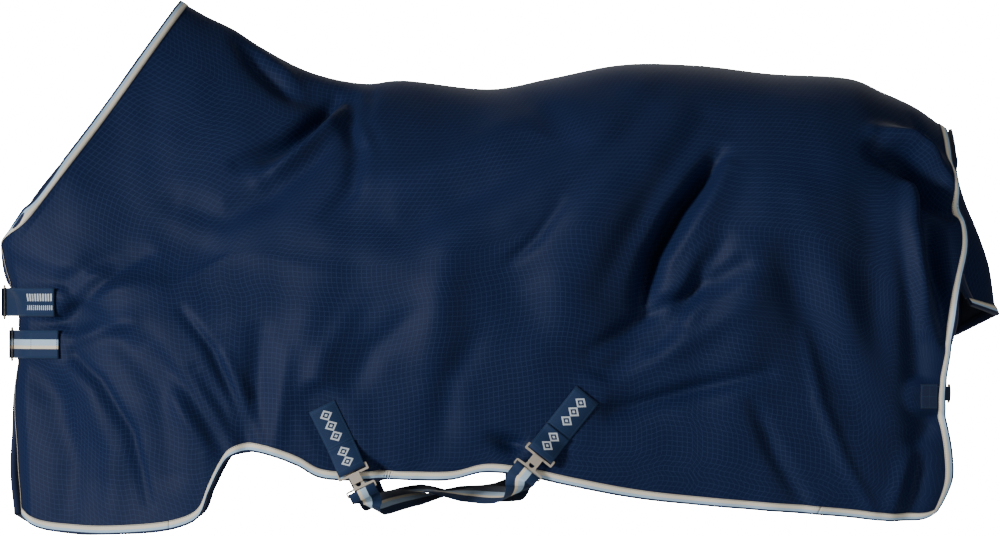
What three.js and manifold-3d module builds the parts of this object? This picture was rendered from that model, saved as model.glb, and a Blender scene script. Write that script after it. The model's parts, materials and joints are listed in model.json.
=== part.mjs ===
// A horse's turnout rug, as it stands on the horse, in millimetres.
// +Z is up, the horse faces -X and its near (left) side is -Y. The origin is on the
// lining at the withers. Each half of the cloth is one surface over a share `s` from
// the front edge to the rear edge and a share `t` from the back seam to the hem.

import * as THREE from 'three';
import { mergeVertices } from 'three/addons/utils/BufferGeometryUtils.js';
import Module from 'manifold-3d';

const wasm = await Module();
wasm.setup();

// ---------------------------------------------------------------- driving sizes

const LENGTH = 1770; // chest to the tip of the tail flap
const DROP = 797; // withers to the lowest point of the hem
const NECK_HALF = 122; // half widths of the horse under the rug
const WITHERS_HALF = 205;
const SHOULDER_HALF = 238;
const BARREL_HALF = 298;
const HIP_HALF = 286;
const TAIL_HALF = 226;
const FRONT_FACE = 66; // width of the cloth that turns across the chest
const FRONT_DEPTH = 24; // how far that cloth stands forward of its fold
const EDGE_HALF = 19; // chest edge to the middle line

const SHELL = 5; // outer fabric with its fill
const LINING = 2.5;
const GAP = 0.4; // between pieces that touch
const TAPE = 1; // binding tape
const TAPE_GAP = 1.1; // between the tape and the cloth it folds over
const BINDING = 15; // width of the binding
const WEB = 1.8; // thickness of the webbing
const WEB_WIDTH = 50;
const TAB_CLEAR = 0.7; // webbing tabs above the outer fabric

const CLIP_HEIGHT = 12; // hook frame's bar above the outer fabric
const STUD = 3.4; // radius of the turn-lock stud's neck
const STUD_HEAD = 4.9;
const RUNNING = 0.4; // clearance where one piece turns in another
const PLATE = 2.4; // thickness of the keyhole plate
const SURCINGLE_TAB = 122; // length of a near side tab
const BELLY_SAG = 47; // crossing point of the belly straps below the front tab's bar

const RING_BAR = 4;
const CHEST_WEB = 20; // width of the off side chest strap
const DEE_WEB = 25; // width of the leg strap loops
const DEE_BAR = 3.2;
const FLAP_HALF = 118; // half width of the tail flap at its seam
const FLAP_END_HALF = 92;
const FLAP_SHELL = 3;
const FLAP_LINING = 2;

const LAYERS = SHELL + GAP + LINING;

// ---------------------------------------------------------------- materials

const cloth = (color, roughness) => new THREE.MeshStandardMaterial({ color, roughness, metalness: 0 });
const shellCloth = cloth(0x16294d, 0.7);
const liningCloth = cloth(0x10182c, 0.8);
const bindingCloth = cloth(0xcfc4ae, 0.8);
const webCloth = cloth(0x0f3557, 0.75);
const blackWeb = cloth(0x16161a, 0.8);
const nickel = new THREE.MeshStandardMaterial({ color: 0xc8b4a0, roughness: 0.3, metalness: 1 });

const rug = new THREE.Group();

// ---------------------------------------------------------------- outlines

// Side view outlines, as [share of LENGTH behind the withers, share of DROP above them].
const BACK_LINE = [
  [-0.204, 0.173], [-0.178, 0.14], [-0.151, 0.111], [-0.123, 0.071], [-0.074, 0.016],
  [-0.02, -0.009], [0.015, -0.002], [0.107, -0.021], [0.164, 0.002], [0.238, 0.033],
  [0.313, 0.031], [0.384, 0.013], [0.468, 0], [0.496, -0.027], [0.53, -0.062], [0.56, -0.109],
];
const HEM_LINE = [
  [-0.36, -0.964], [-0.347, -0.987], [-0.309, -1], [-0.27, -1.002], [-0.207, -0.988],
  [-0.184, -0.964], [-0.173, -0.909], [-0.163, -0.862], [-0.1535, -0.833], [-0.136, -0.82],
  [-0.117, -0.824], [-0.085, -0.849], [-0.062, -0.876], [0.012, -0.88], [0.067, -0.88],
  [0.099, -0.864], [0.137, -0.871], [0.184, -0.893], [0.255, -0.922], [0.435, -0.958],
  [0.51, -0.971], [0.533, -0.967], [0.546, -0.951],
];
const FRONT_LINE = [
  [-0.204, 0.173], [-0.285, -0.082], [-0.333, -0.222], [-0.372, -0.333], [-0.383, -0.362],
  [-0.383, -0.385], [-0.378, -0.442], [-0.3685, -0.482], [-0.3652, -0.53], [-0.366, -0.6],
  [-0.3675, -0.667], [-0.365, -0.778], [-0.363, -0.889], [-0.36, -0.964],
];
const REAR_LINE = [
  [0.56, -0.109], [0.5625, -0.162], [0.563, -0.229], [0.567, -0.26], [0.576, -0.329],
  [0.577, -0.378], [0.57, -0.453], [0.566, -0.538], [0.556, -0.669], [0.555, -0.722],
  [0.562, -0.822], [0.563, -0.867], [0.561, -0.891], [0.554, -0.924], [0.546, -0.951],
];
const FLAP_RIDGE = [
  [0.566, -0.127], [0.572, -0.222], [0.579, -0.267], [0.593, -0.336], [0.603, -0.407],
  [0.609, -0.498], [0.613, -0.52],
];
const FLAP_SIDE = {
  near: [[0.563, -0.28], [0.567, -0.38], [0.574, -0.45], [0.584, -0.497]],
  off: [[0.578, -0.33], [0.58, -0.4], [0.577, -0.49], [0.573, -0.567]],
};

function outline(points) {
  const at = points.map(([x, z]) => new THREE.Vector3(x * LENGTH, 0, z * DROP));
  const curve = new THREE.CatmullRomCurve3(at, false, 'centripetal');
  curve.arcLengthDivisions = 600;
  return (share) => curve.getPointAt(THREE.MathUtils.clamp(share, 0, 1));
}

// A smooth function through [position, value] pairs.
function smooth(table) {
  const last = table.length - 1;
  const slope = table.map((_, i) => {
    const a = table[Math.max(i - 1, 0)];
    const b = table[Math.min(i + 1, last)];
    return (b[1] - a[1]) / (b[0] - a[0]);
  });
  return (x) => {
    let i = 0;
    while (i < last - 1 && x > table[i + 1][0]) i += 1;
    const [x0, y0] = table[i];
    const [x1, y1] = table[i + 1];
    const h = x1 - x0;
    const u = THREE.MathUtils.clamp((x - x0) / h, 0, 1);
    const w = 1 - u;
    return (1 + 2 * u) * w * w * y0 + u * w * w * h * slope[i]
      + u * u * (3 - 2 * u) * y1 - u * u * w * h * slope[i + 1];
  };
}

// ---------------------------------------------------------------- the body's surface

const backLine = outline(BACK_LINE);
const hemLine = outline(HEM_LINE);
const frontLine = outline(FRONT_LINE);
const rearLine = outline(REAR_LINE);
const RIGHT_ANGLE = Math.PI / 2;
const FOLD_S = 0.09; // share of s across the chest front, up to its fold
const FOLD_TURN = 1.1; // angle of the elliptical turn from the chest front to the fold
const ARCH_T = 0.45; // share of t over the rounded back
const SHOULDER_P = 0.2; // where the chest front has widened to the shoulder
const HANG_TAPER = 0.07; // how far the sides draw in from the widest point to the hem
const FOLD_P = FRONT_DEPTH / (0.93 * LENGTH);

const archDepth = smooth([[0, 300], [0.2, 330], [0.45, 320], [0.75, 260], [0.9, 300], [1, 400]]);
const upperHalf = smooth([
  [0, NECK_HALF + 8], [0.12, NECK_HALF + 38], [0.25, WITHERS_HALF], [0.42, BARREL_HALF - 20],
  [0.55, BARREL_HALF], [0.75, HIP_HALF], [0.9, HIP_HALF - 18], [1, TAIL_HALF],
]);
const lowerHalf = smooth([
  [0, SHOULDER_HALF - 50], [0.15, SHOULDER_HALF], [0.3, SHOULDER_HALF + 24], [0.45, BARREL_HALF - 6],
  [0.58, BARREL_HALF], [0.78, HIP_HALF], [0.9, HIP_HALF - 18], [1, TAIL_HALF],
]);
const neckEdge = smooth([
  [0, NECK_HALF], [0.08, NECK_HALF], [0.16, NECK_HALF - 11], [0.21, 97], [0.25, 74], [0.29, 43],
  [0.33, EDGE_HALF + 5], [0.38, EDGE_HALF], [0.75, EDGE_HALF], [0.88, EDGE_HALF + 6], [1, EDGE_HALF + 22],
]);
const frontFace = smooth([
  [0, 0], [0.16, 0], [0.21, 9], [0.25, 26], [0.29, FRONT_FACE - 19], [0.34, FRONT_FACE - 3],
  [0.38, FRONT_FACE], [1, FRONT_FACE],
]);

function sideView(p, q) {
  const edges = backLine(p).multiplyScalar(1 - q).addScaledVector(hemLine(p), q)
    .addScaledVector(frontLine(q), 1 - p).addScaledVector(rearLine(q), p);
  return edges.addScaledVector(backLine(0), -(1 - p) * (1 - q)).addScaledVector(backLine(1), -p * (1 - q))
    .addScaledVector(hemLine(0), -(1 - p) * q).addScaledVector(hemLine(1), -p * q);
}

// The share between `low` and `high` up to which `isBelow` holds, by halving.
function searched(isBelow, low, high) {
  let [from, to] = [low, high];
  for (let k = 0; k < 40; k += 1) {
    const mid = (from + to) / 2;
    if (isBelow(mid)) from = mid;
    else to = mid;
  }
  return from;
}

// The origin is on the lining at the withers, which are at x = 0 on the back line.
const RISE = LAYERS - backLine(searched((share) => backLine(share).x < 0, 0, 1)).z;

// The outer face of the near half.
function bodyAt(s, t) {
  const turning = s < FOLD_S;
  const angle = FOLD_TURN * Math.min(1, s / FOLD_S);
  const p = turning
    ? (FOLD_P * (1 - Math.cos(angle))) / (1 - Math.cos(FOLD_TURN))
    : FOLD_P + ((1 - FOLD_P) * (s - FOLD_S)) / (1 - FOLD_S);
  const depth = backLine(p).z - hemLine(p).z;
  const arch = archDepth(p) / depth;
  const arching = t < ARCH_T;
  const lean = arching ? (t / ARCH_T) * RIGHT_ANGLE : RIGHT_ANGLE;
  const hang = arching ? 0 : (t - ARCH_T) / (1 - ARCH_T);
  const q = arching ? arch * (1 - Math.cos(lean)) : arch + (1 - arch) * hang;
  const low = THREE.MathUtils.smoothstep(hang, 0, 0.4);
  const half = THREE.MathUtils.lerp(upperHalf(p), lowerHalf(p), low);
  const full = half * Math.sin(lean) * (1 - HANG_TAPER * hang ** 1.5);
  const edge = neckEdge(hang) * Math.sin(lean) + (frontFace(hang) * Math.sin(angle)) / Math.sin(FOLD_TURN);
  const widening = turning ? 0 : 1 - (1 - Math.min(1, (p - FOLD_P) / SHOULDER_P)) ** 2;
  const point = sideView(p, q);
  point.y = -GAP / 2 - THREE.MathUtils.lerp(edge, full, widening);
  point.z += RISE;
  return point;
}

const NORMAL_SPAN = 8; // least distance between the points that a normal is taken from

// Unit normal of a surface, away from the horse, from points either side.
function normalOf(surface, outward) {
  return (u, v) => {
    let step = 0.004;
    let [u0, u1] = [0, 0];
    let along = new THREE.Vector3();
    while (along.length() < NORMAL_SPAN && step < 0.1) {
      [u0, u1] = [Math.max(outward.u0, u - step), Math.min(1, u + step)];
      along = surface(u1, v).sub(surface(u0, v));
      step *= 1.4;
    }
    const [v0, v1] = [Math.max(0, v - 0.004), Math.min(1, v + 0.004)];
    const down = surface(u, v1).sub(surface(u, v0));
    const normal = along.cross(down).multiplyScalar(outward.sign).normalize();
    if (outward.seam && v === 0) normal.setY(0).normalize();
    return normal;
  };
}
const bodyNormal = normalOf(bodyAt, { u0: 0, sign: -1, seam: true });

// ---------------------------------------------------------------- cloth grids

// The share of the way in from an edge at which the cloth has run `width`.
function inset(at, width) {
  const edge = at(0);
  return searched((share) => at(share).distanceTo(edge) < width, 0, 0.4);
}

// Points and normals over a surface. The first and last columns and the last row are
// the bound edges. The lines next to them lie one binding's width further in, and a bound
// strip stands off the surface as its inner line does.
function clothGrid(surface, normal, us, vs, [uFirst, uLast] = [0, 1]) {
  const grid = [];
  const rows = [...vs, 1];
  const span = uLast - uFirst;
  const columnAt = (i, v) => {
    const first = inset((k) => surface(uFirst + k * span, v), BINDING);
    const last = inset((k) => surface(uLast - k * span, v), BINDING);
    if (i === 0) return uFirst;
    if (i === us.length + 1) return uLast;
    return uFirst + span * (first + (1 - first - last) * us[i - 1]);
  };
  for (let i = 0; i < us.length + 2; i += 1) {
    const atHem = columnAt(i, 1);
    const low = inset((k) => surface(atHem, 1 - k), BINDING);
    grid.push(rows.map((v, j) => {
      const row = j === rows.length - 1 ? 1 : v * (1 - low);
      const u = columnAt(i, row);
      return { at: surface(u, row), out: normal(u, row) };
    }));
  }
  const inside = (i, count) => THREE.MathUtils.clamp(i, 1, count - 2);
  return grid.map((column, i) => column.map(({ at }, j) => {
    const inner = grid[inside(i, grid.length)][Math.min(j, rows.length - 2)];
    return { at, out: inner.out };
  }));
}

const lift = ({ at, out }, height) => at.clone().addScaledVector(out, height);

const between = (a, b, share, height) => lift(a, height).lerp(lift(b, height), share);

function solidOf(points, triangles) {
  const flat = triangles.filter(([a, b, c]) => !points[a].equals(points[b])
    && !points[b].equals(points[c]) && !points[c].equals(points[a]));
  const geometry = new THREE.BufferGeometry();
  geometry.setAttribute('position', new THREE.Float32BufferAttribute(points.flatMap((p) => p.toArray()), 3));
  geometry.setIndex(flat.flat());
  return geometry;
}

// Is the diagonal from a to c the shorter one? Cloth and tape split each cell along it.
const shorter = (a, c, b, d) => a.at.distanceTo(c.at) < b.at.distanceTo(d.at);

// A sheet of even thickness between two heights over a grid.
function slab(grid, high, low) {
  const [nu, nv] = [grid.length, grid[0].length];
  const points = [high, low].flatMap((h) => grid.flatMap((column) => column.map((node) => lift(node, h))));
  const id = (face, i, j) => face * nu * nv + i * nv + j;
  const triangles = [];
  const quad = (a, b, c, d) => triangles.push([a, b, c], [a, c, d]);
  for (let i = 0; i < nu - 1; i += 1) {
    for (let j = 0; j < nv - 1; j += 1) {
      const [a, b, c, d] = [[i, j], [i, j + 1], [i + 1, j + 1], [i + 1, j]];
      const nodes = [a, b, c, d].map(([m, n]) => grid[m][n]);
      const foot = j === nv - 2;
      const across = foot && i === nu - 2 ? true : shorter(nodes[0], nodes[2], nodes[1], nodes[3]);
      const turn = across && !(foot && i === 0) ? [a, b, c, d] : [b, c, d, a];
      quad(...turn.map(([m, n]) => id(0, m, n)));
      const [e, f, g, h] = turn.map(([m, n]) => id(1, m, n));
      quad(e, h, g, f);
    }
  }
  for (let j = 0; j < nv - 1; j += 1) {
    quad(id(0, 0, j), id(1, 0, j), id(1, 0, j + 1), id(0, 0, j + 1));
    quad(id(0, nu - 1, j), id(0, nu - 1, j + 1), id(1, nu - 1, j + 1), id(1, nu - 1, j));
  }
  for (let i = 0; i < nu - 1; i += 1) {
    quad(id(0, i, 0), id(0, i + 1, 0), id(1, i + 1, 0), id(1, i, 0));
    quad(id(0, i, nv - 1), id(1, i, nv - 1), id(1, i + 1, nv - 1), id(0, i + 1, nv - 1));
  }
  return solidOf(points, triangles);
}

// A closed bar through a row of equal rings of points. `turned` tells which faces are
// split along their other diagonal.
function loft(rings, turned = () => false) {
  const count = rings[0].length;
  const points = rings.flat();
  const triangles = [];
  for (let k = 0; k < rings.length - 1; k += 1) {
    for (let m = 0; m < count; m += 1) {
      const [a, b] = [k * count + m, k * count + ((m + 1) % count)];
      const [c, d] = [b + count, a + count];
      if (turned(k, m)) triangles.push([a, b, d], [b, c, d]);
      else triangles.push([a, b, c], [a, c, d]);
    }
  }
  const flatRing = (ring) => {
    const [o, right] = [ring[0], ring[1].clone().sub(ring[0]).normalize()];
    const normal = new THREE.Vector3();
    ring.forEach((p, m) => normal.add(p.clone().sub(o).cross(ring[(m + 1) % count].clone().sub(o))));
    const up = normal.normalize().cross(right);
    return ring.map((p) => new THREE.Vector2(p.clone().sub(o).dot(right), p.clone().sub(o).dot(up)));
  };
  const cap = (ring, base, flip) => {
    THREE.ShapeUtils.triangulateShape(flatRing(ring), []).forEach(([a, b, c]) => {
      triangles.push(flip ? [base + a, base + c, base + b] : [base + a, base + b, base + c]);
    });
  };
  cap(rings[0], 0, true);
  cap(rings[rings.length - 1], (rings.length - 1) * count, false);
  return solidOf(points, triangles);
}

// Binding tape folded over an edge: `path` lists [edge node, node one width in].
function bindingOver(path, layers) {
  const rings = path.map(([edge, inner]) => {
    const away = edge.at.clone().sub(inner.at).normalize();
    const beyond = (node, height, reach) => lift(node, height).addScaledVector(away, reach);
    const [top, under] = [TAPE_GAP, -layers - TAPE_GAP];
    return [
      lift(inner, top), lift(inner, top + TAPE), beyond(edge, top + TAPE, TAPE_GAP + TAPE),
      beyond(edge, under - TAPE, TAPE_GAP + TAPE), lift(inner, under - TAPE), lift(inner, under),
      beyond(edge, under, TAPE_GAP), beyond(edge, top, TAPE_GAP),
    ];
  });
  const last = rings.length - 1;
  rings[0] = drawnBack(rings[0], rings[1]);
  rings[last] = drawnBack(rings[last], rings[last - 1]);
  const onEdge = [false, false, true, true, false, false, true, true];
  return orient(loft(rings, (k, m) => {
    const fromEdge = shorter(path[k][0], path[k + 1][1], path[k][1], path[k + 1][0]);
    return onEdge[m] ? !fromEdge : fromEdge;
  }));
}

// The end ring of a bar, drawn back towards the next one to leave a gap.
function drawnBack(ring, next) {
  const share = GAP / 2 / ring[2].distanceTo(next[2]);
  return ring.map((p, m) => p.clone().lerp(next[m], Math.min(0.9, share)));
}

function signedVolume(geometry) {
  const at = geometry.attributes.position;
  const [a, b, c] = [new THREE.Vector3(), new THREE.Vector3(), new THREE.Vector3()];
  let volume = 0;
  for (let k = 0; k < geometry.index.count; k += 3) {
    a.fromBufferAttribute(at, geometry.index.getX(k));
    b.fromBufferAttribute(at, geometry.index.getX(k + 1));
    c.fromBufferAttribute(at, geometry.index.getX(k + 2));
    volume += a.dot(b.cross(c)) / 6;
  }
  return volume;
}

function flipped(geometry) {
  const index = geometry.index.array;
  for (let k = 0; k < index.length; k += 3) [index[k], index[k + 1]] = [index[k + 1], index[k]];
  return geometry;
}

const orient = (geometry) => (signedVolume(geometry) < 0 ? flipped(geometry) : geometry);

// The same piece on the off side.
function mirrored(geometry) {
  const copy = geometry.clone();
  copy.scale(1, -1, 1);
  if (!copy.index) return flipped(mergeVertices(bare(copy)));
  return flipped(copy);
}

function bare(geometry) {
  geometry.deleteAttribute('normal');
  geometry.deleteAttribute('uv');
  return geometry;
}

function add(name, geometry, material, parent = rug) {
  const mesh = new THREE.Mesh(geometry, material);
  mesh.name = name;
  parent.add(mesh);
  return mesh;
}

function addPair(name, geometry, material) {
  add(`${name}_left`, geometry, material);
  add(`${name}_right`, mirrored(geometry), material);
}

// ---------------------------------------------------------------- body panels

// Stations from front to rear, close together at the chest fold and the leg arch.
const COLUMNS = [
  0, 0.022, 0.045, 0.068, 0.09, 0.125, 0.165, 0.2, 0.225, 0.245, 0.265, 0.285, 0.305, 0.33, 0.37,
  0.41, 0.45, 0.49, 0.53, 0.57, 0.62, 0.67, 0.72, 0.77, 0.82, 0.87, 0.91, 0.95, 0.975, 1,
];
const ROWS = [
  0, 0.07, 0.14, 0.21, 0.29, 0.37, 0.45, 0.51, 0.55, 0.575, 0.593, 0.611, 0.63, 0.66, 0.72, 0.8, 0.9, 1,
];

const body = clothGrid(bodyAt, bodyNormal, COLUMNS, ROWS);
const LAST_COLUMN = body.length - 1;
const LAST_ROW = body[0].length - 1;
const ARCH_COLUMN = 11; // where the chest and hem bindings meet, above the foreleg
const CHEST_ROW = 12; // where the neck and chest bindings meet, at the chest point
const CORNER_COLUMN = LAST_COLUMN - 3;

addPair('outer', slab(body, 0, -SHELL), shellCloth);
addPair('lining', slab(body, -SHELL - GAP, -LAYERS), liningCloth);

const edgeNode = (i, j) => {
  const inner = body[THREE.MathUtils.clamp(i, 1, LAST_COLUMN - 1)][Math.min(j, LAST_ROW - 1)];
  return [body[i][j], inner];
};
const down = (i, from, to) => Array.from({ length: to - from + 1 }, (_, k) => edgeNode(i, from + k));
const along = (from, to) => Array.from({ length: to - from + 1 }, (_, k) => edgeNode(from + k, LAST_ROW));

addPair('neck_binding', bindingOver(down(0, 0, CHEST_ROW), LAYERS), bindingCloth);
addPair('chest_binding', bindingOver([...down(0, CHEST_ROW, LAST_ROW), ...along(1, ARCH_COLUMN)], LAYERS),
  bindingCloth);
addPair('hem_binding', bindingOver(along(ARCH_COLUMN, CORNER_COLUMN), LAYERS), bindingCloth);
addPair('rear_binding', bindingOver([...along(CORNER_COLUMN, LAST_COLUMN - 1),
  ...down(LAST_COLUMN, 0, LAST_ROW).reverse()], LAYERS), bindingCloth);

// Tape that joins the halves under the back seam.
function backTape(width) {
  const rings = body.slice(1, -1).map((column) => {
    const share = width / 2 / column[0].at.distanceTo(column[1].at);
    const side = (height) => between(column[0], column[1], share, height);
    const middle = (height) => lift(column[0], height).setY(0);
    const across = (p) => p.clone().setY(-p.y);
    const [high, low] = [-LAYERS - GAP, -LAYERS - GAP - TAPE];
    return [middle(high), side(high), side(low), middle(low), across(side(low)), across(side(high))];
  });
  return orient(loft(rings.slice(1, -1)));
}
add('back_tape', backTape(20), bindingCloth);

// ---------------------------------------------------------------- places on the panels

// The surface shares (s, t) at a place in the side view, by Newton's method.
function find(x, z) {
  let [s, t] = [0.5, 0.7];
  const h = 1e-4;
  for (let k = 0; k < 40; k += 1) {
    const here = bodyAt(s, t);
    const ds = bodyAt(s + h, t).sub(here).divideScalar(h);
    const dt = bodyAt(s, t + h).sub(here).divideScalar(h);
    const [ex, ez] = [x - here.x, z - here.z];
    const det = ds.x * dt.z - dt.x * ds.z;
    s = THREE.MathUtils.clamp(s + 0.7 * (ex * dt.z - dt.x * ez) / det, 0.1, 0.998 - h);
    t = THREE.MathUtils.clamp(t + 0.7 * (ds.x * ez - ex * ds.z) / det, 0.02, 0.998 - h);
  }
  return [s, t];
}

// A frame on the near side: Z along `up` in the cloth, Y away from the horse, X across.
function frameOn(x, z, up, height) {
  const [s, t] = find(x, z);
  const yAxis = bodyNormal(s, t);
  const zAxis = up.clone().addScaledVector(yAxis, -up.dot(yAxis)).normalize();
  const xAxis = yAxis.clone().cross(zAxis);
  const origin = bodyAt(s, t).addScaledVector(yAxis, height);
  return new THREE.Matrix4().makeBasis(xAxis, yAxis, zAxis).setPosition(origin);
}

function placedGroup(matrix) {
  const group = new THREE.Group();
  matrix.decompose(group.position, group.quaternion, group.scale);
  rug.add(group);
  return group;
}

// The off side frame that matches a near side one, with its X or its Z turned round.
function mirrorMatrix(matrix, turned = [-1, 1, 1]) {
  const flip = new THREE.Matrix4().makeScale(1, -1, 1);
  return flip.multiply(matrix).multiply(new THREE.Matrix4().makeScale(...turned));
}

// ---------------------------------------------------------------- small solids

const rounded = (w, h, r, path = new THREE.Shape(), [cx, cy] = [0, 0]) => {
  const [x, y] = [cx - w / 2, cy - h / 2];
  path.moveTo(x + r, y).lineTo(x + w - r, y).absarc(x + w - r, y + r, r, -RIGHT_ANGLE, 0)
    .lineTo(x + w, y + h - r).absarc(x + w - r, y + h - r, r, 0, RIGHT_ANGLE)
    .lineTo(x + r, y + h).absarc(x + r, y + h - r, r, RIGHT_ANGLE, Math.PI)
    .lineTo(x, y + r).absarc(x + r, y + r, r, Math.PI, Math.PI * 1.5);
  return path;
};

// A plate in the local XZ plane, with its thickness across Y.
function plateOf(shape, thickness, y = 0, curveSegments = 3) {
  const plate = new THREE.ExtrudeGeometry(shape, { depth: thickness, bevelEnabled: false, curveSegments });
  return plate.translate(0, 0, -thickness / 2).rotateX(RIGHT_ANGLE).translate(0, y, 0);
}

const boxAt = (sx, sy, sz, x, y, z) => new THREE.BoxGeometry(sx, sy, sz).translate(x, y, z);

const rodY = (radius, y0, y1, x, z, sides = 12) => new THREE.CylinderGeometry(radius, radius, y1 - y0, sides)
  .translate(x, (y0 + y1) / 2, z);

function toManifold(geometry) {
  const merged = mergeVertices(bare(geometry.clone()), 1e-4);
  return new wasm.Manifold(new wasm.Mesh({
    numProp: 3,
    vertProperties: new Float32Array(merged.attributes.position.array),
    triVerts: new Uint32Array(merged.index.array),
  }));
}

function joined(...pieces) {
  const whole = pieces.map(toManifold).reduce((a, b) => a.add(b));
  const mesh = whole.getMesh();
  const geometry = new THREE.BufferGeometry();
  geometry.setAttribute('position', new THREE.BufferAttribute(mesh.vertProperties, 3));
  geometry.setIndex(new THREE.BufferAttribute(mesh.triVerts, 1));
  return geometry;
}

// Webbing: a centre line in a local plane, given an even thickness and a width.
// The line is in (Y, Z) and the width across X.
function webbing(line, width, thickness = WEB) {
  const sideOf = (sign) => line.map(([y, z], k) => {
    const [y0, z0] = line[Math.max(k - 1, 0)];
    const [y1, z1] = line[Math.min(k + 1, line.length - 1)];
    const run = Math.hypot(y1 - y0, z1 - z0);
    const off = (sign * thickness) / 2 / run;
    return new THREE.Vector2(y - off * (z1 - z0), z + off * (y1 - y0));
  });
  const shape = new THREE.Shape([...sideOf(1), ...sideOf(-1).reverse()]);
  const strip = new THREE.ExtrudeGeometry(shape, { depth: width, bevelEnabled: false });
  strip.translate(0, 0, -width / 2);
  return strip.applyMatrix4(new THREE.Matrix4().makeBasis(
    new THREE.Vector3(0, 1, 0), new THREE.Vector3(0, 0, 1), new THREE.Vector3(1, 0, 0),
  ));
}

// Radius of a loop's centre line round a bar of this section.
const roundBar = (a, b) => Math.hypot(a, b) / 2 + GAP + WEB / 2;

// Centre line of a loop's half turn round a bar at (a, b), from its -a leg over +b or -b.
function turnRound(a, b, radius, sign, steps = 6) {
  return Array.from({ length: steps + 1 }, (_, k) => {
    const turned = (Math.PI * k) / steps;
    return [a - radius * Math.cos(turned), b + sign * radius * Math.sin(turned)];
  });
}

// ---------------------------------------------------------------- belly surcingles

// Hook frame: Z = 0 is the bar that the tab loops round.
const FRAME_BAR = 3.6;
const SLOT = 5.2; // from that bar to the lower bar
const LOWER_BAR = 4;
const FRAME_HALF = WEB_WIDTH / 2 + 4;
const STUD_Z = -FRAME_BAR / 2 - SLOT - LOWER_BAR - 8.5;
const PLATE_SLOT_TOP = STUD_Z - 16.5;
const PLATE_BAR = PLATE_SLOT_TOP - 4.4; // top of the plate's strap bar
const PLATE_FOOT = PLATE_BAR - 3.6;
const LOOP_END = PLATE_FOOT - 12;
const STRAP_UNDER = -PLATE / 2 - 0.5 - WEB - 0.7 - WEB; // belly strap behind the loop

function hookFrame() {
  const top = FRAME_BAR / 2;
  const foot = -FRAME_BAR / 2 - SLOT - LOWER_BAR;
  const outer = rounded(2 * FRAME_HALF, top - foot, 2, new THREE.Shape(), [0, (top + foot) / 2]);
  outer.holes.push(rounded(WEB_WIDTH + 1.2, SLOT, 0.8, new THREE.Path(), [0, -top - SLOT / 2]));
  const cheek = PLATE / 2 + RUNNING;
  return joined(
    plateOf(outer, FRAME_BAR),
    boxAt(20, 3, foot + 3 - (STUD_Z - 6), 0, cheek + 1.5, (foot + 3 + STUD_Z - 6) / 2),
    rodY(STUD, -cheek - 0.6, cheek + 1, 0, STUD_Z),
    rodY(STUD_HEAD, -cheek - 2, -cheek - 0.3, 0, STUD_Z),
  );
}

function keyholePlate() {
  const crown = 7.4;
  const half = WEB_WIDTH / 2 + 3;
  const shoulder = PLATE_SLOT_TOP + 3.4;
  const shape = new THREE.Shape();
  shape.moveTo(-half, PLATE_FOOT + 2).absarc(-half + 2, PLATE_FOOT + 2, 2, Math.PI, Math.PI * 1.5)
    .lineTo(half - 2, PLATE_FOOT).absarc(half - 2, PLATE_FOOT + 2, 2, -RIGHT_ANGLE, 0)
    .lineTo(half, shoulder - 2).lineTo(half - 2, shoulder).lineTo(11, shoulder + 1)
    .lineTo(crown, STUD_Z).absarc(0, STUD_Z, crown, 0, Math.PI)
    .lineTo(-11, shoulder + 1).lineTo(-half + 2, shoulder).lineTo(-half, shoulder - 2);
  const neck = STUD + RUNNING;
  const wide = STUD_HEAD + RUNNING;
  const drop = 7.6;
  const bite = Math.asin(neck / wide);
  const keyhole = new THREE.Path();
  keyhole.absarc(0, STUD_Z, neck, 0, Math.PI, false)
    .absarc(0, STUD_Z - drop, wide, RIGHT_ANGLE + bite, RIGHT_ANGLE - bite + 2 * Math.PI, false)
    .lineTo(neck, STUD_Z);
  shape.holes.push(keyhole);
  shape.holes.push(rounded(WEB_WIDTH + 1.2, PLATE_SLOT_TOP - PLATE_BAR, 0.8, new THREE.Path(),
    [0, (PLATE_SLOT_TOP + PLATE_BAR) / 2]));
  return plateOf(shape, PLATE, 0, 5);
}

// Tab: flat on the cloth, then round the hook frame's bar, its end stitched back on itself.
function nearTab(length) {
  const seat = TAB_CLEAR + WEB / 2 - CLIP_HEIGHT;
  const reach = roundBar(FRAME_BAR, FRAME_BAR);
  return webbing([
    [seat, length], [seat, 34], [(seat - reach) / 2, 16], [-reach, 5], ...turnRound(0, 0, reach, -1),
    [reach, 5], [(seat + reach) / 2 + 2.4, 18], [seat + WEB + 1, 34], [seat + WEB + 1, 46],
  ], WEB_WIDTH);
}

function plateLoop() {
  const reach = PLATE / 2 + 0.5 + WEB / 2;
  const centre = PLATE_BAR - 0.5;
  return webbing([[-reach, LOOP_END], ...turnRound(0, centre, reach, 1), [reach, LOOP_END]], WEB_WIDTH);
}

const SURCINGLES = {
  front: { x: -0.0305, z: -0.857, up: [-0.44, 0, 0.9], tab: SURCINGLE_TAB },
  rear: { x: 0.1557, z: -0.82, up: [0.62, 0, 0.785], tab: SURCINGLE_TAB + 6 },
};
for (const item of Object.values(SURCINGLES)) {
  const up = new THREE.Vector3(...item.up);
  item.frame = frameOn(item.x * LENGTH, item.z * DROP + RISE, up, CLIP_HEIGHT);
  item.mirror = mirrorMatrix(item.frame);
}
const CROSSING = new THREE.Vector3(
  ((SURCINGLES.front.x + SURCINGLES.rear.x) / 2) * LENGTH - 16,
  0,
  SURCINGLES.front.z * DROP + RISE - BELLY_SAG,
);

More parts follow.
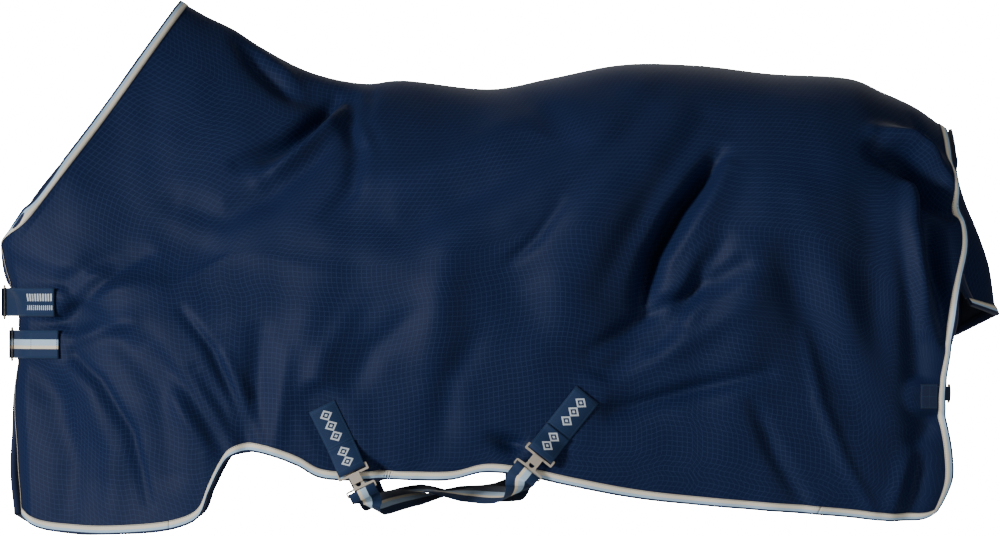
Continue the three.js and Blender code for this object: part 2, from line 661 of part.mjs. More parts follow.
// Route of a belly strap's half, from its clip to the crossing, as [point, width direction].
function halfRoute(matrix, rise) {
  const local = (y, z) => new THREE.Vector3(0, y, z).applyMatrix4(matrix);
  const wide = new THREE.Vector3(1, 0, 0).transformDirection(matrix);
  const start = local(STRAP_UNDER, LOOP_END + 6);
  const bend = local(STRAP_UNDER, LOOP_END - 4);
  const end = CROSSING.clone().setZ(CROSSING.z + rise);
  const level = new THREE.Vector3().subVectors(end, bend).setZ(0).normalize();
  const flat = new THREE.Vector3(-level.y, level.x, 0);
  if (flat.dot(wide) < 0) flat.negate();
  const mix = (k, drop, share) => {
    const p = bend.clone().lerp(end, k);
    p.z = THREE.MathUtils.lerp(bend.z, end.z, share) - drop;
    return [p, wide.clone().lerp(flat, Math.min(1, k * 3.2 + 0.25)).normalize()];
  };
  return [
    [start, wide], [bend, wide], mix(0.015, 9, 0.15), mix(0.06, 15, 0.35), mix(0.16, 14, 0.55),
    mix(0.32, 9, 0.78), mix(0.6, 3, 0.95), [end, flat],
  ];
}

// A ribbon along route nodes of [point, width direction], smoothed and closed.
function ribbon(nodes, width, thickness, steps) {
  const curve = new THREE.CatmullRomCurve3(nodes.map(([p]) => p), false, 'centripetal');
  const spans = nodes.length - 1;
  const rings = Array.from({ length: steps + 1 }, (_, k) => {
    const share = k / steps;
    const i = Math.min(spans - 1, Math.floor(share * spans));
    const centre = curve.getPoint(share);
    const tangent = curve.getTangent(share);
    const wide = nodes[i][1].clone().lerp(nodes[i + 1][1], share * spans - i);
    wide.addScaledVector(tangent, -wide.dot(tangent)).normalize();
    const out = tangent.clone().cross(wide).normalize();
    const corner = (a, b) => centre.clone().addScaledVector(wide, (a * width) / 2)
      .addScaledVector(out, (b * thickness) / 2);
    return [corner(-1, -1), corner(1, -1), corner(1, 1), corner(-1, 1)];
  });
  return orient(loft(rings));
}

const OFF_END = 78; // how far the belly strap runs up the off side tab
const SLIDER_AT = 24;

function bellyStrap(nearFrame, offFrame, rise) {
  const local = (y, z) => new THREE.Vector3(0, y, z).applyMatrix4(offFrame);
  const wide = new THREE.Vector3(-1, 0, 0).transformDirection(offFrame);
  const seat = TAB_CLEAR + WEB + 0.6 + WEB / 2 - CLIP_HEIGHT;
  const off = halfRoute(offFrame, rise).map(([p, w]) => [p, w.clone().negate()]).reverse();
  const up = [[local(STRAP_UNDER, SLIDER_AT - 30), wide], [local(STRAP_UNDER, SLIDER_AT + 26), wide],
    [local(seat, SLIDER_AT + 44), wide], [local(seat, OFF_END), wide]];
  const near = halfRoute(nearFrame, rise);
  if (near[near.length - 1][1].dot(off[0][1]) < 0) {
    [...off, ...up].forEach((node) => { node[1] = node[1].clone().negate(); });
  }
  return ribbon([...near, ...off.slice(1, -1), ...up], WEB_WIDTH, WEB, 44);
}

// Slider: a frame round the strap, which passes between its bars.
function slider(width, bar, depth) {
  const outer = rounded(width + 2 * bar + 1.2, depth + 2 * bar, 1.2);
  outer.holes.push(rounded(width + 1.2, depth, 0.6, new THREE.Path()));
  const frame = new THREE.ExtrudeGeometry(outer, { depth: 16, bevelEnabled: false, curveSegments: 3 });
  return frame.translate(0, 0, -8);
}

function addSurcingle(name, item, other, rise) {
  const near = placedGroup(item.frame);
  add(`surcingle_${name}_tab`, nearTab(item.tab), webCloth, near);
  add(`surcingle_${name}_hook`, hookFrame(), nickel, near);
  add(`surcingle_${name}_plate`, keyholePlate(), nickel, near);
  add(`surcingle_${name}_loop`, plateLoop(), webCloth, near);
  add(`surcingle_${name}_strap`, bellyStrap(item.frame, other.mirror, rise), webCloth);
  const off = placedGroup(other.mirror);
  const seat = TAB_CLEAR + WEB / 2 - CLIP_HEIGHT;
  add(`surcingle_${name}_off_tab`, webbing([[seat, 44], [seat, 104]], WEB_WIDTH + 20), webCloth, off);
  const ring = slider(WEB_WIDTH, 2.4, WEB + 1.2);
  ring.translate(0, STRAP_UNDER, SLIDER_AT);
  add(`surcingle_${name}_slider`, ring, nickel, off);
}
addSurcingle('front', SURCINGLES.front, SURCINGLES.rear, -2.5);
addSurcingle('rear', SURCINGLES.rear, SURCINGLES.front, 2.5);

// ---------------------------------------------------------------- chest closures

const RING_HALF = WEB_WIDTH / 2 + 1.6; // half the ring's opening, along Z
const RING_REACH = 18; // ring's opening, along Y
const HOOK_GAP = RING_BAR / 2 + 1.1; // inside of the snap hook to the middle of the ring's bar
const HOOK_METAL = 2.6;
const SNAP_WIDTH = 14;
const SNAP_LENGTH = 30; // shank's end, from the ring's bar
const EYE_AT = SNAP_LENGTH + 2.3; // strap's bar, from the ring's bar
const EYE_BAR = 3.4;
const EYE_THICK = 3.2;
const STRAP_CLEAR = 12; // end of the chest strap's flat part, from the snap's bar

// Place in plan of a chest tab's centre line at share s, clear of the cloth over its width.
function planOutline(z, s, clear) {
  const atHeight = (height) => searched((share) => bodyAt(s, share).z > height, 0.3, 0.999);
  const half = WEB_WIDTH / 2;
  const middle = atHeight(z);
  const out = bodyNormal(s, middle).setZ(0).normalize();
  const at = bodyAt(s, middle).setZ(0);
  const push = Math.max(...[-half, half].map((d) => {
    const p = bodyAt(s, atHeight(z + d)).setZ(0);
    return p.sub(at).dot(out);
  }), 0);
  return at.addScaledVector(out, push + clear + TAPE_GAP + TAPE + WEB / 2);
}

// Webbing whose centre line lies in plan, with its width along Z.
function uprightWeb(plan, z, width) {
  return webbing(plan, width).applyMatrix4(new THREE.Matrix4().makeBasis(
    new THREE.Vector3(0, 0, 1), new THREE.Vector3(1, 0, 0), new THREE.Vector3(0, 1, 0),
  )).translate(0, 0, z);
}

const TAB_FROM = 0.42; // shares of s between which the chest tabs are laid
const TAB_TO = 0.03;

// Centre line in plan round the chest fold, from the tab's end at reachX to the front.
function chestTabPlan(z, reachX, clear) {
  const end = searched((s) => planOutline(z, s, clear).x < reachX, FOLD_S, TAB_FROM);
  const plan = [];
  for (let s = end; s > TAB_TO; s -= s > FOLD_S ? 0.012 : 0.016) {
    const { x, y } = planOutline(z, s, clear);
    plan.push([x, y]);
  }
  return plan;
}

const RING_Y = -27; // middle of the ring's near bar
const BAR_AHEAD = 9; // ring's bars in front of the chest tab's foremost point

// Ring in the YZ plane about its near bar.
function chestRing() {
  const middle = [RING_REACH / 2 + RING_BAR / 2, 0];
  const [wide, high] = [RING_REACH + 2 * RING_BAR, 2 * RING_HALF + 2 * RING_BAR];
  const shape = rounded(wide, high, 2, new THREE.Shape(), middle);
  shape.holes.push(rounded(RING_REACH, 2 * RING_HALF, 1, new THREE.Path(), middle));
  return plateOf(shape, RING_BAR, 0, 3);
}

// Snap hook: X runs from the ring's bar to the strap, Y away from the chest, Z up.
function snapHook() {
  const outer = HOOK_GAP + HOOK_METAL;
  const shape = new THREE.Shape();
  shape.moveTo(SNAP_LENGTH - 5, outer - 0.6).lineTo(0, outer)
    .absarc(0, 0, outer, RIGHT_ANGLE, Math.PI * 1.5).lineTo(5, -outer)
    .lineTo(5, -HOOK_GAP).lineTo(0, -HOOK_GAP)
    .absarc(0, 0, HOOK_GAP, Math.PI * 1.5, RIGHT_ANGLE, true).lineTo(14, HOOK_GAP)
    .lineTo(16.5, -1.2).lineTo(SNAP_LENGTH - 5, -1.6);
  const hook = new THREE.ExtrudeGeometry(shape, { depth: SNAP_WIDTH, bevelEnabled: false, curveSegments: 6 });
  hook.translate(0, 0, -SNAP_WIDTH / 2);
  const eye = rounded(11, CHEST_WEB + 7.2, 1.6, new THREE.Shape(), [EYE_AT - 3.8, 0]);
  eye.holes.push(rounded(5.2, CHEST_WEB + 1.2, 0.6, new THREE.Path(), [EYE_AT - 4.3, 0]));
  return joined(hook, new THREE.ExtrudeGeometry(eye, { depth: 3.2, bevelEnabled: false, curveSegments: 3 })
    .translate(0, 0, -1.6)
    .applyMatrix4(new THREE.Matrix4().makeBasis(
      new THREE.Vector3(1, 0, 0), new THREE.Vector3(0, 0, 1), new THREE.Vector3(0, -1, 0),
    )));
}

// Spring gate, closing the hook's mouth from inside its tip.
function snapGate() {
  return boxAt(14.4, 1, SNAP_WIDTH - 3, 10.2, -HOOK_GAP + 0.9, 0);
}

// The off side strap in plan, and the loop at its end round the snap's bar.
function offStrapPlans(plan, barX, barY) {
  const radius = roundBar(EYE_BAR, EYE_THICK);
  const strap = plan.map(([x, y]) => [x, -y]).filter(([, y]) => y > barY + STRAP_CLEAR);
  const [x, y] = strap[strap.length - 1];
  const turn = turnRound(barX, barY, radius, -1).reverse();
  const middle = [(x + turn[0][0]) / 2, (y + barY) / 2];
  const run = Math.hypot(middle[0] - x, middle[1] - y);
  const share = GAP / run;
  const start = [x + share * (middle[0] - x), y + share * (middle[1] - y)];
  return { strap, loop: [start, middle, ...turn, [barX - radius, barY + 7]] };
}

const CHEST = {
  upper: { z: -0.493, near: -0.331, off: -0.345, clear: 1.3 },
  lower: { z: -0.586, near: -0.327, off: -0.342, clear: 0.3 },
};

function addChestClosure(name, { z: share, near, off, clear }) {
  const z = share * DROP + RISE;
  const plan = chestTabPlan(z, near * LENGTH, clear);
  const front = plan[plan.length - 1];
  const barX = front[0] - BAR_AHEAD;
  const reach = roundBar(RING_BAR, RING_BAR);
  const kept = plan.filter(([, y]) => y < RING_Y - 10);
  const turn = turnRound(barX, RING_Y, reach, 1).reverse();
  const tabLine = [...kept, ...turn, [barX - reach, RING_Y - 8]];
  add(`chest_${name}_tab`, orient(mergeVertices(bare(uprightWeb(tabLine, z, WEB_WIDTH)))), webCloth);
  const facing = new THREE.Matrix4().makeBasis(
    new THREE.Vector3(0, 1, 0), new THREE.Vector3(-1, 0, 0), new THREE.Vector3(0, 0, 1),
  );
  const ringGroup = placedGroup(facing.clone().setPosition(barX, RING_Y, z));
  add(`chest_${name}_ring`, chestRing(), nickel, ringGroup);
  const hookY = RING_Y + RING_REACH + RING_BAR;
  const snapGroup = placedGroup(facing.clone().setPosition(barX, hookY, z));
  add(`chest_${name}_snap`, snapHook(), nickel, snapGroup);
  add(`chest_${name}_gate`, snapGate(), nickel, snapGroup);
  const eyeY = hookY + EYE_AT;
  const plans = offStrapPlans(chestTabPlan(z, off * LENGTH, clear), barX, eyeY);
  Object.entries(plans).forEach(([piece, line]) => {
    add(`chest_${name}_${piece}`, orient(mergeVertices(bare(uprightWeb(line, z, CHEST_WEB)))), blackWeb);
  });
}
Object.entries(CHEST).forEach(([name, item]) => addChestClosure(name, item));

// ---------------------------------------------------------------- leg strap fixings

const DEE = { x: 0.557, z: -0.694, patchX: 0.5455 };
const DEE_REACH = 8; // bar of the D-ring beyond the rear edge
const DEE_TURN = -1.13; // the D-ring hangs turned in, behind the edge
const UNDER = -(LAYERS + TAPE_GAP + TAPE + GAP + WEB / 2); // first clear height inside the rug

// Frame at the rear edge: X beyond the edge, Y away from the horse, Z down.
function rearFrame() {
  const z = DEE.z * DROP + RISE;
  const t = searched((share) => bodyAt(1, share).z > z, 0.3, 0.99);
  const yAxis = bodyNormal(1, t);
  const below = new THREE.Vector3(0, 0, -1);
  const zAxis = below.addScaledVector(yAxis, -below.dot(yAxis)).normalize();
  return new THREE.Matrix4().makeBasis(yAxis.clone().cross(zAxis), yAxis, zAxis).setPosition(bodyAt(1, t));
}

function deeLoop() {
  const reach = roundBar(DEE_BAR, DEE_BAR);
  const line = turnRound(UNDER - reach, DEE_REACH, reach, 1).map(([y, x]) => [x, y]).reverse();
  return uprightWeb([[-34, UNDER], ...line, [-34, UNDER - 2 * reach]], 0, DEE_WEB);
}

function deeRing() {
  const [half, bow] = [DEE_WEB / 2 + 1.4, 22];
  const deeShape = (grow, path) => path.moveTo(-grow, half + grow).lineTo(-grow, -half - grow)
    .lineTo(bow - half, -half - grow).absarc(bow - half, 0, half + grow, -RIGHT_ANGLE, RIGHT_ANGLE);
  const shape = deeShape(DEE_BAR, new THREE.Shape());
  shape.holes.push(deeShape(0, new THREE.Path()));
  return plateOf(shape, DEE_BAR, 0, 8).translate(DEE_BAR / 2, 0, 0);
}

function addLegFixings() {
  const near = rearFrame();
  const [patchX, patchZ] = [DEE.patchX * LENGTH - 13, DEE.z * DROP + RISE - 4];
  const patchFrame = frameOn(patchX, patchZ, new THREE.Vector3(0, 0, 1), 0);
  const sides = {
    left: [near, patchFrame],
    right: [mirrorMatrix(near, [1, 1, -1]), mirrorMatrix(patchFrame)],
  };
  Object.entries(sides).forEach(([side, [edge, patch]]) => {
    const group = placedGroup(edge);
    add(`legstrap_loop_${side}`, orient(mergeVertices(bare(deeLoop()))), webCloth, group);
    const ring = add(`legstrap_dee_${side}`, deeRing(), nickel, group);
    ring.position.set(DEE_REACH, UNDER - roundBar(DEE_BAR, DEE_BAR), 0);
    ring.rotation.z = DEE_TURN;
    add(`legstrap_patch_${side}`, plateOf(rounded(30, 42, 2), 1.2, 1.5), shellCloth, placedGroup(patch));
  });
}
addLegFixings();

// ---------------------------------------------------------------- tail flap

const flapRidge = outline(FLAP_RIDGE);
const FLAP_BACK = 11.3; // flap's seam behind the rear edge

// Share t of the rear edge at a half width y.
const rearShare = (y) => searched((share) => -bodyAt(1, share).y < y, 0, ARCH_T);
const seamPoint = (y) => bodyAt(1, rearShare(y));
const flapSides = Object.fromEntries(Object.entries(FLAP_SIDE).map(([side, points]) => {
  const top = seamPoint(FLAP_HALF);
  return [side, outline([[top.x / LENGTH + 0.004, (top.z - RISE) / DROP], ...points])];
}));

// The flap's outer face, over u from the near edge (-1) to the off edge (1).
function flapAt(u, v) {
  const side = flapSides[u < 0 ? 'near' : 'off'];
  const share = Math.cos(u * RIGHT_ANGLE);
  const hung = (down) => side(down).lerp(flapRidge(down), share).add(new THREE.Vector3(0, 0, RISE));
  const seam = seamPoint(Math.abs(u) * FLAP_HALF).add(new THREE.Vector3(FLAP_BACK, 0, 0));
  const free = THREE.MathUtils.smoothstep(v, 0, 0.4);
  const at = hung(v).addScaledVector(seam.sub(hung(0)), 1 - free);
  at.y = THREE.MathUtils.lerp(FLAP_HALF, FLAP_END_HALF, v) * u;
  return at;
}
const flapNormal = normalOf(flapAt, { u0: -1, sign: -1, seam: false });

const FLAP_COLUMNS = [0, 0.1, 0.22, 0.36, 0.5, 0.64, 0.78, 0.9, 1];
const FLAP_ROWS = [0, 0.12, 0.25, 0.4, 0.55, 0.7, 0.85, 1];
const flap = clothGrid(flapAt, flapNormal, FLAP_COLUMNS, FLAP_ROWS, [-1, 1]);
const FLAP_LAYERS = FLAP_SHELL + GAP + FLAP_LINING;
const [flapEnd, flapFoot] = [flap.length - 1, flap[0].length - 1];
const flapNode = (i, j) => {
  const inner = flap[THREE.MathUtils.clamp(i, 1, flapEnd - 1)][Math.min(j, flapFoot - 1)];
  return [flap[i][j], inner];
};
const flapEdge = [
  ...Array.from({ length: flapFoot }, (_, j) => flapNode(0, j)),
  ...flap.map((_, i) => flapNode(i, flapFoot)),
  ...Array.from({ length: flapFoot }, (_, j) => flapNode(flapEnd, flapFoot - 1 - j)),
];
add('tail_flap_outer', orient(slab(flap, 0, -FLAP_SHELL)), shellCloth);
add('tail_flap_lining', orient(slab(flap, -FLAP_SHELL - GAP, -FLAP_LAYERS)), liningCloth);
add('tail_flap_binding', bindingOver(flapEdge, FLAP_LAYERS), bindingCloth);

export default rug;
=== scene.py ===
# %% [markdown]
# # A horse's turnout rug
# The rug is cloth shaped by a horse that isn't there: two big panels joined along the
# back, bound in striped tape, and held by clips, webbing and crossed belly straps. The
# solid model gives every place and size. Each piece here is a surface worked out as
# whole arrays, with finer folds and edges than the solids have.

# %% Load the frame
import json
import math
import bmesh
import bpy
import numpy as np
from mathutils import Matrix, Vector


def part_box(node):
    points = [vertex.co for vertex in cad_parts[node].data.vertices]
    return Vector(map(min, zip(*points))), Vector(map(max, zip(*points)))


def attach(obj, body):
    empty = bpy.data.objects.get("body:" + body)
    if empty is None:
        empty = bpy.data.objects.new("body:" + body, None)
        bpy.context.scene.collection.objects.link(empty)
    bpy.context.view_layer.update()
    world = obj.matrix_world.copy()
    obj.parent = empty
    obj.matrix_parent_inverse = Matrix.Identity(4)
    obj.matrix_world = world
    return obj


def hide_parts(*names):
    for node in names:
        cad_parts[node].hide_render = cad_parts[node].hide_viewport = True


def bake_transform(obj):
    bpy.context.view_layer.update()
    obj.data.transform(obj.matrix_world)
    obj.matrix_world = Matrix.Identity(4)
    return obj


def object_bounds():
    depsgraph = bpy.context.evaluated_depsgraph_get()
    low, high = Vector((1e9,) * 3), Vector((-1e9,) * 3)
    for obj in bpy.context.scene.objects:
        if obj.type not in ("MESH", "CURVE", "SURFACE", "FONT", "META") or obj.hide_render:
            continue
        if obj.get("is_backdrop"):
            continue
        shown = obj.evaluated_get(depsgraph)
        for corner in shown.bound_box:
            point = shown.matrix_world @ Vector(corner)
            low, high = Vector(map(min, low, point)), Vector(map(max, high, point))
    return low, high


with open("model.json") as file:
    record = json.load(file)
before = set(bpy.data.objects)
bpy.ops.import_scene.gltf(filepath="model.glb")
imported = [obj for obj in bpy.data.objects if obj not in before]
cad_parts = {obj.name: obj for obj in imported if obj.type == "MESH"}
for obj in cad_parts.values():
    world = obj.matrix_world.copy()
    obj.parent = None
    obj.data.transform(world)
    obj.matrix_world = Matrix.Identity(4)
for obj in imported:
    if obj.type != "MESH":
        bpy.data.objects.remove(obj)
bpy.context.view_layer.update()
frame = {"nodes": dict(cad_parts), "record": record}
joints = {j["name"]: j for j in frame["record"]["behaviour"]["joints"]}
mounts = {m["name"]: m for m in frame["record"]["mounts"]}
ROOT = "rug_body"

# %% [markdown]
# ## The outline
# A rug is drawn from the side, so its shape starts as four smooth lines: back, hem,
# front and rear. They are tables of shares of the rug's length and drop, and a
# centripetal curve runs through them, because it doesn't overshoot at close points.

# %% Outline tables, as shares behind the withers and above them
BACK_LINE = [
    (-0.204, 0.173), (-0.178, 0.14), (-0.151, 0.111), (-0.123, 0.071), (-0.074, 0.016),
    (-0.02, -0.009), (0.015, -0.002), (0.107, -0.021), (0.164, 0.002), (0.238, 0.033),
    (0.313, 0.031), (0.384, 0.013), (0.468, 0), (0.496, -0.027), (0.53, -0.062), (0.56, -0.109)]
HEM_LINE = [
    (-0.36, -0.964), (-0.347, -0.987), (-0.309, -1), (-0.27, -1.002), (-0.207, -0.988),
    (-0.184, -0.964), (-0.173, -0.909), (-0.163, -0.862), (-0.1535, -0.833), (-0.136, -0.82),
    (-0.117, -0.824), (-0.085, -0.849), (-0.062, -0.876), (0.012, -0.88), (0.067, -0.88),
    (0.099, -0.864), (0.137, -0.871), (0.184, -0.893), (0.255, -0.922), (0.435, -0.958),
    (0.51, -0.971), (0.533, -0.967), (0.546, -0.951)]
FRONT_LINE = [
    (-0.204, 0.173), (-0.285, -0.082), (-0.333, -0.222), (-0.372, -0.333), (-0.383, -0.362),
    (-0.383, -0.385), (-0.378, -0.442), (-0.3685, -0.482), (-0.3652, -0.53), (-0.366, -0.6),
    (-0.3675, -0.667), (-0.365, -0.778), (-0.363, -0.889), (-0.36, -0.964)]
REAR_LINE = [
    (0.56, -0.109), (0.5625, -0.162), (0.563, -0.229), (0.567, -0.26), (0.576, -0.329),
    (0.577, -0.378), (0.57, -0.453), (0.566, -0.538), (0.556, -0.669), (0.555, -0.722),
    (0.562, -0.822), (0.563, -0.867), (0.561, -0.891), (0.554, -0.924), (0.546, -0.951)]


def dense_curve(points, steps=48):
    """Centripetal Catmull-Rom curve: between two points, a cubic whose end slopes weigh
    the neighbours by the square root of their distances. Returns points and lengths."""
    p = np.asarray(points, float)
    p = np.vstack([2 * p[0] - p[1], p, 2 * p[-1] - p[-2]])
    a, b, c, d = p[:-3], p[1:-2], p[2:-1], p[3:]
    gap = lambda m, n: np.sqrt(np.linalg.norm(n - m, axis=1))[:, None]
    d0, d1, d2 = gap(a, b), gap(b, c), gap(c, d)
    m1 = ((b - a) / d0 - (c - a) / (d0 + d1) + (c - b) / d1) * d1
    m2 = ((c - b) / d1 - (d - b) / (d1 + d2) + (d - c) / d2) * d1
    u = np.linspace(0, 1, steps, endpoint=False)[None, :, None]
    cubic = [b, m1, -3 * b + 3 * c - 2 * m1 - m2, 2 * b - 2 * c + m1 + m2]
    q = sum(k[:, None, :] * u ** n for n, k in enumerate(cubic)).reshape(-1, p.shape[1])
    q = np.vstack([q, p[-2]])
    run = np.concatenate([[0], np.cumsum(np.linalg.norm(np.diff(q, axis=0), axis=1))])
    return q, run


def outline(table, length, drop):
    """A function from a share of the curve's length to (x, z)."""
    q, run = dense_curve(np.array(table) * (length, drop))
    return lambda share: tuple(np.interp(np.clip(share, 0, 1) * run[-1], run, q[:, k]) for k in (0, 1))


# %% [markdown]
# ## Real sizes
# The tables hold shares, so the length and the drop are read back from the frame: the
# near panel's box, divided by what the tables span.

# %% Sizes from the frame
panel_low, panel_high = (np.array(v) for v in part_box("outer_left"))
shares = np.vstack([dense_curve(t)[0] for t in (BACK_LINE, HEM_LINE, FRONT_LINE, REAR_LINE)])
span = shares.max(axis=0) - shares.min(axis=0)
LENGTH, DROP = (panel_high - panel_low)[[0, 2]] / span
RISE = panel_high[2] - shares[:, 1].max() * DROP
print("length", round(LENGTH, 4), "drop", round(DROP, 4), "rise", round(RISE, 4))
back_line, hem_line, front_line, rear_line = (
    outline(t, LENGTH, DROP) for t in (BACK_LINE, HEM_LINE, FRONT_LINE, REAR_LINE))


# %% [markdown]
# ## One surface for half a rug
# A panel is a function of two shares: `s` from the chest edge to the rear edge and `t`
# from the back seam to the hem. The side view is a patch blended between the four lines.
# The width comes from the horse: an arch over the back, then a hanging side.

# %% Widths of the horse, and how a value eases along a table
mm = 0.001
GAP = 0.4 * mm  # between pieces that touch
SHELL, LINING = 5 * mm, 2.5 * mm
FOLD_S, FOLD_TURN, ARCH_T, SHOULDER_P, HANG_TAPER = 0.09, 1.1, 0.45, 0.2, 0.07
FOLD_P = 0.024 / (0.93 * LENGTH)


def smooth(table):
    """Cubic through the table's pairs, with the slope at each from its neighbours."""
    x, y = np.array(table, float).T
    ends = np.arange(len(x))
    lo, hi = np.maximum(ends - 1, 0), np.minimum(ends + 1, len(x) - 1)
    slope = (y[hi] - y[lo]) / (x[hi] - x[lo])

    def at(v):
        i = np.clip(np.searchsorted(x, v, side="left") - 1, 0, len(x) - 2)
        h = x[i + 1] - x[i]
        u = np.clip((v - x[i]) / h, 0, 1)
        w = 1 - u
        return ((1 + 2 * u) * w * w * y[i] + u * w * w * h * slope[i]
                + u * u * (3 - 2 * u) * y[i + 1] - u * u * w * h * slope[i + 1])
    return at


arch_depth = smooth([(0, .3), (.2, .33), (.45, .32), (.75, .26), (.9, .3), (1, .4)])
upper_half = smooth([(0, .13), (.12, .16), (.25, .205), (.42, .278), (.55, .298), (.75, .286),
                     (.9, .268), (1, .226)])
lower_half = smooth([(0, .188), (.15, .238), (.3, .262), (.45, .292), (.58, .298), (.78, .286),
                     (.9, .268), (1, .226)])
neck_edge = smooth([(0, .122), (.08, .122), (.16, .111), (.21, .097), (.25, .074), (.29, .043),
                    (.33, .024), (.38, .019), (.75, .019), (.88, .025), (1, .041)])
front_face = smooth([(0, 0), (.16, 0), (.21, .009), (.25, .026), (.29, .047), (.34, .063),
                     (.38, .066), (1, .066)])
ease = lambda v: v * v * (3 - 2 * v)
print("half width at the barrel", float(upper_half(0.55)), "and at the tail", float(upper_half(1.0)))


# %% [markdown]
# The side view and the width are joined here. A Coons patch fills the space between the
# four lines: both blends of opposite lines are added and the doubled corners taken off.

# %% The half rug's surface
def side_view(p, q):
    """Coons patch: the two pairs of opposite lines blended, less the blended corners."""
    out = []
    for k in (0, 1):
        edges = back_line(p)[k] * (1 - q) + hem_line(p)[k] * q
        edges = edges + front_line(q)[k] * (1 - p) + rear_line(q)[k] * p
        corners = (back_line(0)[k] * (1 - p) * (1 - q) + back_line(1)[k] * p * (1 - q)
                   + hem_line(0)[k] * (1 - p) * q + hem_line(1)[k] * p * q)
        out.append(edges - corners)
    return out


def half_rug(s, t):
    """Outer face of the near half at shares s and t: side view from the patch, and width
    from a quarter-ellipse arch, then a hanging side that draws in towards the hem."""
    s, t = np.broadcast_arrays(np.asarray(s, float), np.asarray(t, float))
    turning = s < FOLD_S
    angle = FOLD_TURN * np.minimum(1, s / FOLD_S)
    p = np.where(turning, FOLD_P * (1 - np.cos(angle)) / (1 - np.cos(FOLD_TURN)),
                 FOLD_P + (1 - FOLD_P) * (s - FOLD_S) / (1 - FOLD_S))
    arch = arch_depth(p) / (back_line(p)[1] - hem_line(p)[1])
    arching = t < ARCH_T
    lean = np.where(arching, t / ARCH_T, 1) * math.pi / 2
    hang = np.where(arching, 0, (t - ARCH_T) / (1 - ARCH_T))
    q = np.where(arching, arch * (1 - np.cos(lean)), arch + (1 - arch) * hang)
    low = ease(np.clip(hang / 0.4, 0, 1))
    half = upper_half(p) * (1 - low) + lower_half(p) * low
    full = half * np.sin(lean) * (1 - HANG_TAPER * hang ** 1.5)
    edge = neck_edge(hang) * np.sin(lean) + front_face(hang) * np.sin(angle) / math.sin(FOLD_TURN)
    widening = np.where(turning, 0, 1 - (1 - np.minimum(1, (p - FOLD_P) / SHOULDER_P)) ** 2)
    x, z = side_view(p, q)
    return np.stack([x, -GAP / 2 - (edge * (1 - widening) + full * widening), z + RISE], axis=-1)


def normals_of(grid, sign=-1.0):
    """Unit normals of a grid of points, from the cross product of its two directions."""
    out = sign * np.cross(np.gradient(grid, axis=0), np.gradient(grid, axis=1))
    return out / np.maximum(np.linalg.norm(out, axis=-1, keepdims=True), 1e-12)


def unit(v):
    v = np.asarray(v, float)
    return v / np.maximum(np.linalg.norm(v, axis=-1, keepdims=True), 1e-12)


check = half_rug(np.linspace(0, 1, 60)[:, None], np.linspace(0, 1, 40)[None, :])
print("surface box", check.reshape(-1, 3).min(0).round(4), check.reshape(-1, 3).max(0).round(4))


# %% [markdown]
# ## Places for the fittings
# A buckle or a tab has a frame of its own: an origin and three directions. The joints
# already hold these, so each frame is read from them and nothing is placed by eye.

# %% Fitting frames
class Place:
    """Origin and x, y directions; z is x crossed with y. at() turns local to row points."""

    def __init__(self, origin, x, y):
        self.o, self.x, self.y = (np.array(v, float) for v in (origin, x, y))
        self.z = np.cross(self.x, self.y)

    def at(self, points):
        p = np.atleast_2d(np.asarray(points, float))
        return self.o + p[:, :1] * self.x + p[:, 1:2] * self.y + p[:, 2:3] * self.z

    def off_side(self):
        flip = np.array([1.0, -1.0, 1.0])
        return Place(self.o * flip, -self.x * flip, self.y * flip)


def joint_place(across_joint, out_joint):
    first, second = joints[across_joint], joints[out_joint]
    return Place(first["pos_m"], first["axis"], second["axis"])


near_place = {n: joint_place(f"surcingle_{n}_hook_swing", f"surcingle_{n}_plate_turn")
              for n in ("front", "rear")}
off_place = {"front": near_place["rear"].off_side(), "rear": near_place["front"].off_side()}
TAB_LONG = {"front": 0.122, "rear": 0.128}
flat_spots = [(*p.at([(0, 0, -0.02), (0, 0, TAB_LONG[n] + 0.004)]), 0.036)
              for n, p in near_place.items()]
for node, beyond in (("chest_upper_tab", 0), ("chest_lower_tab", 0), ("legstrap_patch_left", 0.03)):
    a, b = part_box(node)
    middle = (a[2] + b[2]) / 2
    flat_spots.append((np.array([a[0], 0, middle]), np.array([b[0] + beyond, 0, middle]), 0.03))
print("fitting frames", {n: p.o.round(3).tolist() for n, p in near_place.items()})


def under_fittings(x, z):
    """1 well inside a fitting's footprint and 0 away from it: a flat-topped bell about
    the line down its middle."""
    total = np.zeros_like(x)
    for a, b, reach in flat_spots:
        d = (b - a)[[0, 2]]
        u = np.clip(((x - a[0]) * d[0] + (z - a[2]) * d[1]) / (d @ d), 0, 1)
        far = np.hypot(x - a[0] - u * d[0], z - a[2] - u * d[1])
        total = np.maximum(total, np.exp(-((far / reach) ** 6)))
    return total


# %% [markdown]
# ## Folds
# Cloth over a horse creases where it is pulled: down from the withers, out from the hip,
# and towards the straps. Each crease is a line with a height and a width, and the panel
# moves out or in by the sum of bell curves about those lines. A simulation could make
# folds too, but lines can be put exactly where this rug's folds run.

# %% How fold lines move the cloth
FOLD_GAIN = 1.9  # how much deeper the folds are than their table says


